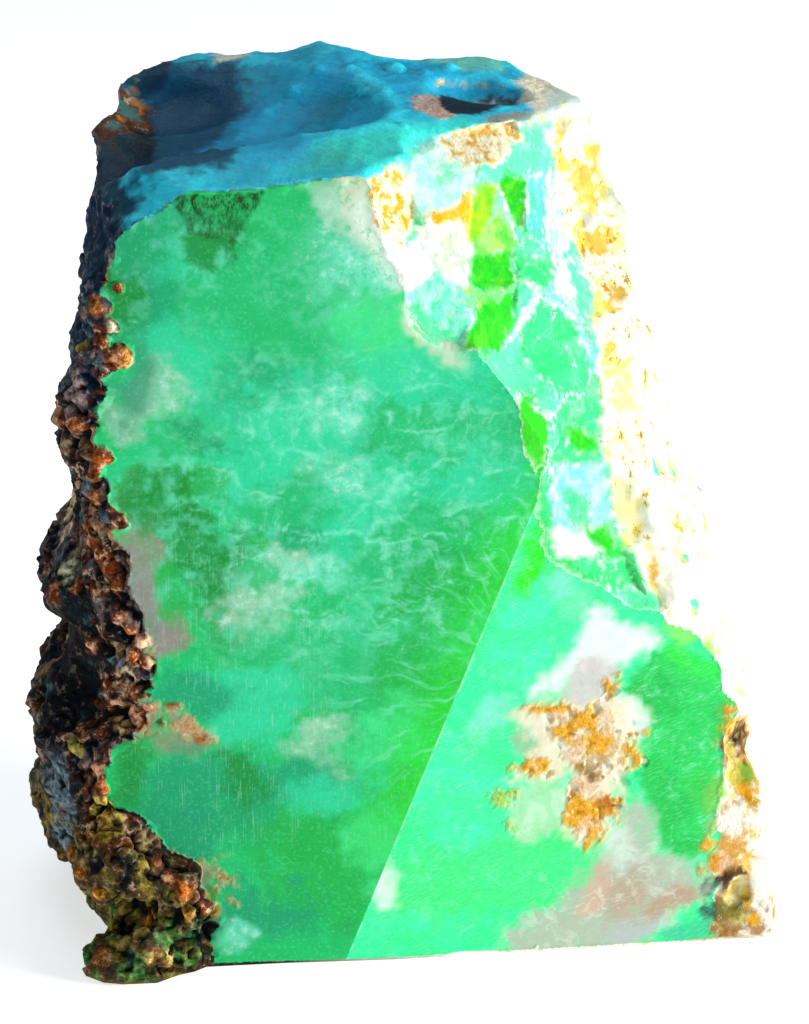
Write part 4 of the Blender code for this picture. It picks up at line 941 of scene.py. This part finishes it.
    def paintMainSpots():  # soft spots of the large sawn face, and a painted glow along the ridge, as light shining through the stone
        lay("main", "mainGreen", every)
        pale = np.zeros(count)
        for name, across, up, wide, tall, tilt, soft in mainSpots:
            crust, hazy = name in crustTones, name in ("cream", "milk", "paleHaze")
            mask = spotMask(loose, (across, -23.5, up), (wide, 9.0, tall), tilt,
                            soft if crust else soft + 0.35, crumbly if crust else 0.45 * ragged)
            lay("main", name, mask * (0.78 if hazy else 0.86))
            pale = np.maximum(pale * (1.0 - mask), mask * hazy)
            if name in ("emerald", "green", "deepTeal", "leaf"):  # a milky rim round the clear lenses
                rim = 4.0 * mask * (1.0 - mask) * smooth(30.0, 45.0, z) * smooth(-0.1, 0.35, ragged)
                lay("main", "milk", rim * 0.30)
        # the band beside the ridge is painted brighter green, as light passing through the stone
        beside = smooth(-0.75, 0.0, overFace(points, "lower") + 0.10 * ragged)
        beside = beside * smooth(8.0, 22.0, z) * smooth(66.0, 54.0, z)
        lay("main", "green", beside ** 0.6 * 0.35)
        lay("main", "glow", beside ** 1.5 * 0.6)
        return pale

    def paintLowerSpots():  # soft spots of the lower sawn face, its base painted lighter than the large face as if sunlit, and the rind's marks that run over its edge
        # the mint base is painted lighter, as sunlight on this face
        lay("lower", "lowerMintSunlit", every)
        for name, across, up, wide, tall, tilt, soft in lowerSpots:
            moved = tight if name in crustTones or name == "fern" else (loose + tight) * 0.5
            bite = crumbly if name in crustTones else 0.35 * ragged
            lay("lower", name, spotMask(moved, (across, -20.5, up), (wide, 9.0, tall), tilt, soft, bite))
        for name, place, size, tilt, soft in rindSpots:
            if place[0] > 36.0:
                lay("lower", name, spotMask(tight, place, size, tilt, soft, crumbly * 0.7) * 0.9)

    def paintMarks(coat, marks):  # outlined marks of a sawn face
        milky = np.zeros(count)
        for name, strength, soft, bite, outline in marks:
            edge = points + bite * (0.6 * shift + 0.7 * small + 0.6 * tiny)
            mask = outlineMask(edge[:, 0], edge[:, 2], outline, soft)
            if name in crustTones:
                mask = mask * smooth(-0.12, 0.12, crumbly + 0.36)
            lay(coat, name, mask * strength)
            milky = np.maximum(milky, mask) if name in milkTones else milky * (1.0 - mask)
        return milky

    paintRind()
    warm = paintNodules()
    broken, vivid, limey = paintFacets()
    paintTop()
    pale = paintMainSpots()
    paintLowerSpots()
    paintMarks("main", mainMarks)
    milky = paintMarks("lower", lowerMarks)

    # web, still, fan and upright: where the veils and nets, the calm, the rays and the saw lines show
    fields = {
        "side": side, "behind": behind, "bordering": bordering, "warm": warm, "deep": deep,
        "crusty": crusty, "vivid": vivid, "limey": limey, "pale": pale, "milky": milky,
        "topFace": zone["top"],
        "rind": zone["rind"] * (1.0 - broken), "sawn": zone["sawn"] * (1.0 - broken),
        "fresh": np.clip(zone["shoulder"] + zone["top"] + broken, 0, 1),
        "web": spotMask(points, (-3.0, -23.0, 57.0), (23.0, 9.0, 19.0), 0, 0.8),
        "still": 0.85 * spotMask(points, (-11.0, -23.0, 82.0), (15.0, 9.0, 11.0), 0, 0.6),
        "fan": spotMask(points, (2.0, -23.0, 42.0), (15.0, 9.0, 19.0), 0, 0.8),
        "upright": np.clip(
            spotMask(points, (-20.0, -23.0, 36.0), (13.0, 9.0, 26.0), 0, 0.9)
            + 0.7 * spotMask(points, (-3.0, -23.0, 22.0), (8.0, 9.0, 10.0), 0, 0.9), 0, 1),
        "stain": outlineMask(x + 0.5 * small[:, 0], z + 0.3 * small[:, 2], stainOutline, 0.7)
        * (0.45 + 0.55 * smooth(91.5, 94.6, z)),
    }
    for coat, paint in coats.items():
        colour = mesh.attributes.new("paint_" + coat, "FLOAT_COLOR", "POINT")
        rgba = np.concatenate([np.clip(paint, 0, 1), np.ones((count, 1))], 1)
        colour.data.foreach_set("color", rgba.astype(np.float32).ravel())
    for name, values in fields.items():
        layer = mesh.attributes.new(name, "FLOAT", "POINT")
        layer.data.foreach_set("value", values.astype(np.float32))


def stoneFinish():
    material = bpy.data.materials.new("chrysoprase")
    material.use_nodes = True
    tree = material.node_tree
    tree.nodes.clear()

    def make(kind, values=None, **props):
        item = tree.nodes.new(kind)
        for key, value in props.items():
            setattr(item, key, value)
        for key, value in (values or {}).items():
            if isinstance(value, bpy.types.NodeSocket):
                tree.links.new(value, item.inputs[key])
            else:
                item.inputs[key].default_value = value
        return item

    def field(name, out="Fac"):
        return make("ShaderNodeAttribute", attribute_name=name).outputs[out]

    def calc(op, a, b=0.0, c=0.0):
        return make("ShaderNodeMath", {0: a, 1: b, 2: c}, operation=op).outputs[0]

    def times(*parts):
        out = parts[0]
        for part in parts[1:]:
            out = calc("MULTIPLY", out, part)
        return out

    def flip(value):
        return calc("SUBTRACT", 1.0, value)

    def ramp(value, low, high):
        return make("ShaderNodeMapRange", {"Value": value, "From Min": low, "From Max": high},
                    interpolation_type="SMOOTHSTEP").outputs["Result"]

    def mix(mask, a, b, mode="MIX"):
        item = make("ShaderNodeMix", data_type="RGBA", blend_type=mode)
        for index, value in ((0, mask), (6, a), (7, b)):
            if isinstance(value, bpy.types.NodeSocket):
                tree.links.new(value, item.inputs[index])
            elif isinstance(value, (tuple, list, np.ndarray)):
                item.inputs[index].default_value = (*[float(v) for v in value][:3], 1.0)
            else:
                item.inputs[index].default_value = value
        return item.outputs[2]

    def shaded(mask, base, factor):
        return mix(mask, base, mix(1.0, base, factor, "MULTIPLY"))

    def layered(base, *layers):  # each layer: colour, then the parts of its mask
        for colour, *mask in layers:
            base = mix(times(*mask), base, linear(colour))
        return base

    def grain(place, size, detail=3.0, rough=0.55, out="Fac", flat=False):
        values = {"Vector": place, "Scale": size, "Detail": detail, "Roughness": rough}
        return make("ShaderNodeTexNoise", values, noise_dimensions="2D" if flat else "3D").outputs[out]

    def vector(op, a, b, out=0):
        return make("ShaderNodeVectorMath", {0: a, 1: b}, operation=op).outputs[out]

    def apart(place):
        return make("ShaderNodeSeparateXYZ", {"Vector": place}).outputs

    def joined(across, up):
        return make("ShaderNodeCombineXYZ", {"X": across, "Y": up}).outputs[0]

    def turned(axis, degrees):
        return make("ShaderNodeVectorRotate", {"Vector": mm, "Axis": axis, "Angle": math.radians(degrees)},
                    rotation_type="AXIS_ANGLE").outputs[0]

    def plane(name):
        point, normal = np.array(sawFaces["edge"]), np.array(sawFaces[name])
        return calc("SUBTRACT", vector("DOT_PRODUCT", mm, tuple(normal), "Value"), float(point @ normal))

    mm = vector("MULTIPLY", make("ShaderNodeTexCoord").outputs["Object"], (1000.0, 1000.0, 1000.0))
    sway = vector("MULTIPLY", vector("SUBTRACT", grain(mm, 0.22, 2.0, 0.5, "Color"), (0.5, 0.5, 0.5)),
                  (9.0, 9.0, 9.0))
    bent = vector("ADD", mm, sway)
    x, _, z = apart(mm)
    rind, side, fresh, vivid = field("rind"), field("side"), field("fresh"), field("vivid")
    web, crusty, topFace, deep = field("web"), field("crusty"), field("topFace"), field("deep")
    warm, stain, milky, behind = field("warm"), field("stain"), field("milky"), field("behind")
    fine = grain(mm, 2.4, 3.0, 0.65)
    crumbs = grain(mm, stonePlan["crumbs"], 7.0, 0.73)
    haze = grain(bent, stonePlan["cloudy"], 6.0, 0.62)
    veils = grain(bent, stonePlan["veiled"], 6.0, 0.70)
    mottle = grain(mm, 0.6, 3.0, 0.6)
    sawn = ramp(calc("ADD", field("sawn"), calc("MULTIPLY", calc("SUBTRACT", fine, 0.5), 0.7)), 0.42, 0.58)
    ridge = calc("SUBTRACT", plane("lower"), plane("main"))
    low = ramp(ridge, -0.004, 0.004)
    clean = flip(crusty)
    # the left rind, whose dark is painted shade, and the rest of the rind
    dark, pallid = times(rind, side), times(rind, flip(side))
    limey = field("limey")

    def largeFace():  # soft clouds and fine wisps in the green
        unstill, pale = flip(field("still")), field("pale")
        green = layered(
            field("paint_main", "Color"),
            ((60, 200, 130), ramp(crumbs, 0.48, 0.40), pale, 0.55),
            ((196, 238, 214), ramp(crumbs, 0.52, 0.62), pale, 0.55),
            ((84, 232, 186), ramp(haze, 0.47, 0.70), web, unstill, 0.45),
            ((26, 156, 78), ramp(haze, 0.46, 0.28), unstill, 0.30),
            ((150, 246, 216), ramp(veils, 0.52, 0.72), web, 0.45),
            ((24, 160, 80), ramp(veils, 0.46, 0.32), unstill, 0.22))

        # fracture net, and rays that fan out from the lower right
        twist = vector("ADD", mm, vector("MULTIPLY", sway, (0.45, 0.45, 0.45)))
        across, _, up = apart(twist)
        place = joined(times(across, 0.14), times(up, 0.22))
        net = make("ShaderNodeTexVoronoi", {"Vector": place, "Scale": 1.0}, feature="DISTANCE_TO_EDGE",
                   voronoi_dimensions="2D").outputs["Distance"]
        seam = times(ramp(net, 0.11, 0.0), ramp(veils, 0.42, 0.62))
        across, _, up = apart(vector("SUBTRACT", twist, (18.0, 0.0, 36.0)))
        away = calc("SQRT", calc("ADD", times(across, across), times(up, up)))
        turn = joined(times(calc("ARCTAN2", up, across), 13.0), times(away, 0.11))
        rays = times(ramp(grain(turn, 1.0, 4.0, 0.6, flat=True), 0.55, 0.72), ramp(away, 4.0, 9.0),
                     ramp(away, 34.0, 18.0))
        green = layered(
            green,
            ((140, 246, 212), seam, web, stonePlan["net"]),
            ((132, 246, 206), rays, field("fan"), stonePlan["rays"]),
            ((120, 234, 184), ramp(fine, 0.50, 0.78), 0.28))
        green = shaded(0.20, green, mix(mottle, (0.5, 0.5, 0.5), (1.5, 1.5, 1.5)))

        # upright saw lines, then the dark stain under the top edge and scattered dark dots
        lines = joined(times(x, stonePlan["sawLines"]), times(z, 0.20))
        strokes = ramp(grain(lines, 1.0, 3.0, 0.70, flat=True), 0.57, 0.72)
        front = joined(x, z)
        smear = grain(vector("MULTIPLY", front, (1.0, 0.5, 1.0)), 1.3, 5.0, 0.8, flat=True)
        dots = make("ShaderNodeTexVoronoi", {"Vector": front, "Scale": 0.6},
                    voronoi_dimensions="2D").outputs
        green = layered(
            green,
            ((160, 236, 208), strokes, field("upright"), ramp(veils, 0.40, 0.60), 0.42),
            ((24, 104, 40), ramp(stain, 0.0, 0.7), ramp(smear, 0.25, 0.60), 0.85),
            ((10, 44, 8), stain, ramp(smear, 0.47, 0.62), 0.9),
            ((18, 60, 24), ramp(dots["Distance"], 0.14, 0.07), ramp(dots["Color"], 0.95, 0.97), 0.85))
        return green

    def lowerFace():  # veils, milk, slanting saw lines, and a painted highlight along the ridge
        slanted, _, rising = apart(turned((0.0, 1.0, 0.0), 22.0))
        lines = joined(times(slanted, 0.9), times(rising, stonePlan["sawLines"]))
        dashes = grain(lines, 1.0, 2.0, 0.62, flat=True)
        clear = times(clean, flip(milky))
        mint = layered(
            field("paint_lower", "Color"),
            ((52, 232, 110), ramp(haze, 0.44, 0.60), clear, 0.40),
            ((140, 255, 212), ramp(veils, 0.52, 0.72), clear, 0.36),
            ((240, 244, 236), ramp(veils, 0.50, 0.62), milky, 0.30),
            ((176, 176, 158), ramp(veils, 0.48, 0.36), milky, 0.25),
            ((190, 255, 228), ramp(dashes, 0.50, 0.66), clean, 0.10))
        mint = shaded(0.14, mint, mix(mottle, (0.6, 0.6, 0.6), (1.4, 1.4, 1.4)))
        # a pale line along the ridge is a painted highlight
        ridgeHighlight = times(ramp(calc("ABSOLUTE", ridge), 0.03, 0.0), ramp(mottle, 0.42, 0.6))
        mint = layered(
            mint,
            ((226, 255, 240), ramp(dashes, 0.66, 0.74), ramp(veils, 0.50, 0.62), clean, 0.4),
            ((225, 255, 235), ridgeHighlight, 0.3))
        return mint

    def darkRind():  # the left rind, its dark base painted shade: dust, rust and pale crumbs on raised points, the pale crumbs partly crust colour and partly painted highlight
        raised = ramp(deep, 0.12, -0.06)
        crumbly = calc("ADD", 0.18, times(warm, calc("ADD", 0.32, times(field("bordering"), 0.45))))
        tone = shaded(dark, field("paint_rest", "Color"),
                      mix(ramp(crumbs, 0.34, 0.64), (0.26, 0.25, 0.27), (2.1, 2.0, 1.85)))
        tone = layered(
            tone,
            ((168, 84, 36), ramp(veils, 0.52, 0.60), dark, warm, raised, 0.6),
            # pale crumbs on raised points: crust colour and partly painted highlight
            ((236, 200, 168), ramp(crumbs, 0.53, 0.62), dark, raised, crumbly))
        return tone

    def whiteRind(tone):  # honey streaks, and the plain tan back
        honey = grain(vector("MULTIPLY", mm, (1.5, 1.0, 0.55)), 0.50, 5.0, 0.68)
        white = times(pallid, ramp(z, 30.0, 60.0), ramp(behind, 1.0, 0.4))
        plain = times(pallid, behind)
        tone = layered(
            tone,
            ((252, 232, 110), ramp(honey, 0.555, 0.60), white, 0.6),
            ((206, 138, 6), ramp(honey, 0.60, 0.63), white, 0.95))
        tone = shaded(times(ramp(crumbs, 0.50, 0.36), plain, 0.7), tone, (0.42, 0.32, 0.22))
        tone = layered(tone, ((214, 196, 160), ramp(veils, 0.50, 0.64), plain, 0.5))
        return tone

    def topAndShoulder(tone):  # the brushed top, then glassy and limey panes, with near-white specks painted as glints
        brushed = grain(vector("MULTIPLY", turned((0.0, 0.0, 1.0), 28.0), (0.3, 2.6, 1.0)), 1.0, 3.0, 0.65)
        grit = calc("ADD", times(brushed, 0.5), times(crumbs, 0.5))
        shade = mix(grit, (0.0, 0.05, 0.1), (2.0, 1.95, 1.9))
        tone = shaded(times(topFace, 0.55), tone, shade)
        glassy = times(fresh, flip(topFace), clean, flip(vivid))
        tone = layered(
            tone,
            ((200, 255, 228), ramp(veils, 0.50, 0.68), glassy, 0.26),
            ((50, 226, 110), ramp(veils, 0.46, 0.36), glassy, 0.45),
            # near-white specks on the glassy panes are painted glints
            ((244, 255, 248), ramp(crumbs, 0.60, 0.65), glassy, 0.7),
            ((170, 232, 30), ramp(veils, 0.48, 0.64), limey, 0.50),
            ((30, 176, 6), ramp(veils, 0.47, 0.34), limey, 0.55),
            ((206, 250, 96), ramp(crumbs, 0.58, 0.64), limey, 0.28))
        return tone

    tone = topAndShoulder(whiteRind(darkRind()))
    tone = mix(times(sawn, flip(low)), tone, largeFace())
    tone = mix(times(sawn, low), tone, lowerFace())
    rusty = times(crusty, ramp(crumbs, 0.5, 0.4), flip(times(pallid, 0.8)), flip(times(fresh, 0.45)), 0.85)
    tone = shaded(rusty, tone, (0.72, 0.55, 0.18))
    tone = layered(tone, ((254, 246, 222), crusty, ramp(crumbs, 0.56, 0.63), flip(dark), 0.55))

    rough = calc("SUBTRACT", calc("ADD", stonePlan["roughness"], times(rind, 0.30)), times(topFace, 0.20))
    for more in (times(vivid, 0.25), times(crusty, 0.2), times(calc("SUBTRACT", mottle, 0.5), 0.25)):
        rough = calc("ADD", rough, more)
    smoothRind = times(pallid, ramp(z, 24.0, 40.0), flip(behind))
    rugged = calc("MAXIMUM", calc("MAXIMUM", rind, crusty), times(fresh, 0.35))
    lumps = times(grain(mm, 1.9, 4.0, 0.68), times(rugged, flip(times(smoothRind, 0.75))))
    bump = make("ShaderNodeBump", {"Height": lumps, "Strength": 1.0, "Distance": stonePlan["bump"]})
    surface = make("ShaderNodeBsdfPrincipled", {
        "Base Color": tone, "Roughness": rough, "Normal": bump.outputs[0],
        "Specular IOR Level": stonePlan["specular"], "IOR": stonePlan["refraction"]})
    make("ShaderNodeOutputMaterial", {"Surface": surface.outputs[0]})
    return material


stone = fineSkin(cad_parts["chrysoprase_stone"])
stage("fine skin: %d points" % len(stone.data.vertices))
relief(stone)
stage("relief")
thin(stone)
stage("thinned to %d faces" % len(stone.data.polygons))
splitShoulder(stone)
cutFacets(stone)
stage("facets cut, %d faces" % len(stone.data.polygons))
paintStone(stone)
stage("painted")
stone.data.materials.append(stoneFinish())
stone.data.set_sharp_from_angle(angle=math.radians(stonePlan["sharp"]))
level = zones(readPoints(stone.data), readNormals(stone.data))["front"]
for face in stone.data.polygons:  # the sawn faces are shaded flat
    face.use_smooth = max(abs(level[k]) for k in face.vertices) > 0.01
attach(stone, "root")
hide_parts("chrysoprase_stone")


room = {
    "floor": (0.93, 0.93, 0.93),
    "floorGlow": 0.6,
    "lights": (  # name, place, width, power, colour
        ("key", (0.67, -0.14, 0.20), 0.30, 6.6, (1.0, 0.98, 0.93)),
        ("fill", (-0.30, -0.75, 0.30), 0.5, 0.50, (0.95, 1.0, 1.0)),
        ("top", (-0.10, 0.20, 0.70), 0.5, 1.3, (0.75, 0.9, 1.0)),
    ),
    "lightAim": (0.0, 0.0, 0.05),
    "sky": (0.80, 0.90, 1.0),
    "skyPower": 0.20,
    "lens": 150.0,
    "rise": 20.0,  # degrees the camera looks down
    "away": 0.515,
    "target": (0.000678, 0.001603, 0.0481),
}


def plainFloor():
    bpy.ops.mesh.primitive_plane_add(size=6.0, location=(0.0, 0.0, -0.00005))  # just under the base
    floor = bpy.context.object
    floor.name = "floor"
    material = bpy.data.materials.new("floor")
    material.use_nodes = True
    shader = material.node_tree.nodes["Principled BSDF"]
    shader.inputs["Base Color"].default_value = (*room["floor"], 1.0)
    shader.inputs["Roughness"].default_value = 0.9
    shader.inputs["Specular IOR Level"].default_value = 0.1
    shader.inputs["Emission Color"].default_value = (1.0, 1.0, 1.0, 1.0)
    shader.inputs["Emission Strength"].default_value = room["floorGlow"]
    floor.data.materials.append(material)


def softLight(name, place, size, power, colour):
    data = bpy.data.lights.new(name, "AREA")
    data.shape = "DISK"
    data.size = size
    data.energy = power
    data.color = colour
    lamp = bpy.data.objects.new(name, data)
    scene.collection.objects.link(lamp)
    lamp.location = place
    aim = Vector(room["lightAim"]) - Vector(place)
    lamp.rotation_euler = aim.to_track_quat("-Z", "Y").to_euler()


def studio():
    for light in room["lights"]:
        softLight(*light)
    world = bpy.data.worlds.new("studio")
    scene.world = world
    world.use_nodes = True
    nodes, links = world.node_tree.nodes, world.node_tree.links
    sky = nodes["Background"]
    sky.inputs["Color"].default_value = (*room["sky"], 1.0)
    sky.inputs["Strength"].default_value = room["skyPower"]
    white = nodes.new("ShaderNodeBackground")  # the backdrop itself shows plain white
    white.inputs["Color"].default_value = (1.0, 1.0, 1.0, 1.0)
    seen = nodes.new("ShaderNodeLightPath")
    choice = nodes.new("ShaderNodeMixShader")
    for index, socket in enumerate((seen.outputs["Is Camera Ray"], sky.outputs[0], white.outputs[0])):
        links.new(socket, choice.inputs[index])
    links.new(choice.outputs[0], nodes["World Output"].inputs["Surface"])
    scene.view_settings.view_transform = "Standard"


def standCamera():
    data = bpy.data.cameras.new("camera")
    data.lens = room["lens"]
    data.clip_start = 0.01
    camera = bpy.data.objects.new("camera", data)
    scene.collection.objects.link(camera)
    rise = math.radians(room["rise"])
    target = Vector(room["target"])
    camera.location = target + room["away"] * Vector((0.0, -math.cos(rise), math.sin(rise)))
    camera.rotation_euler = (target - camera.location).to_track_quat("-Z", "Y").to_euler()
    scene.camera = camera


plainFloor()
studio()
standCamera()
stage("stage set")
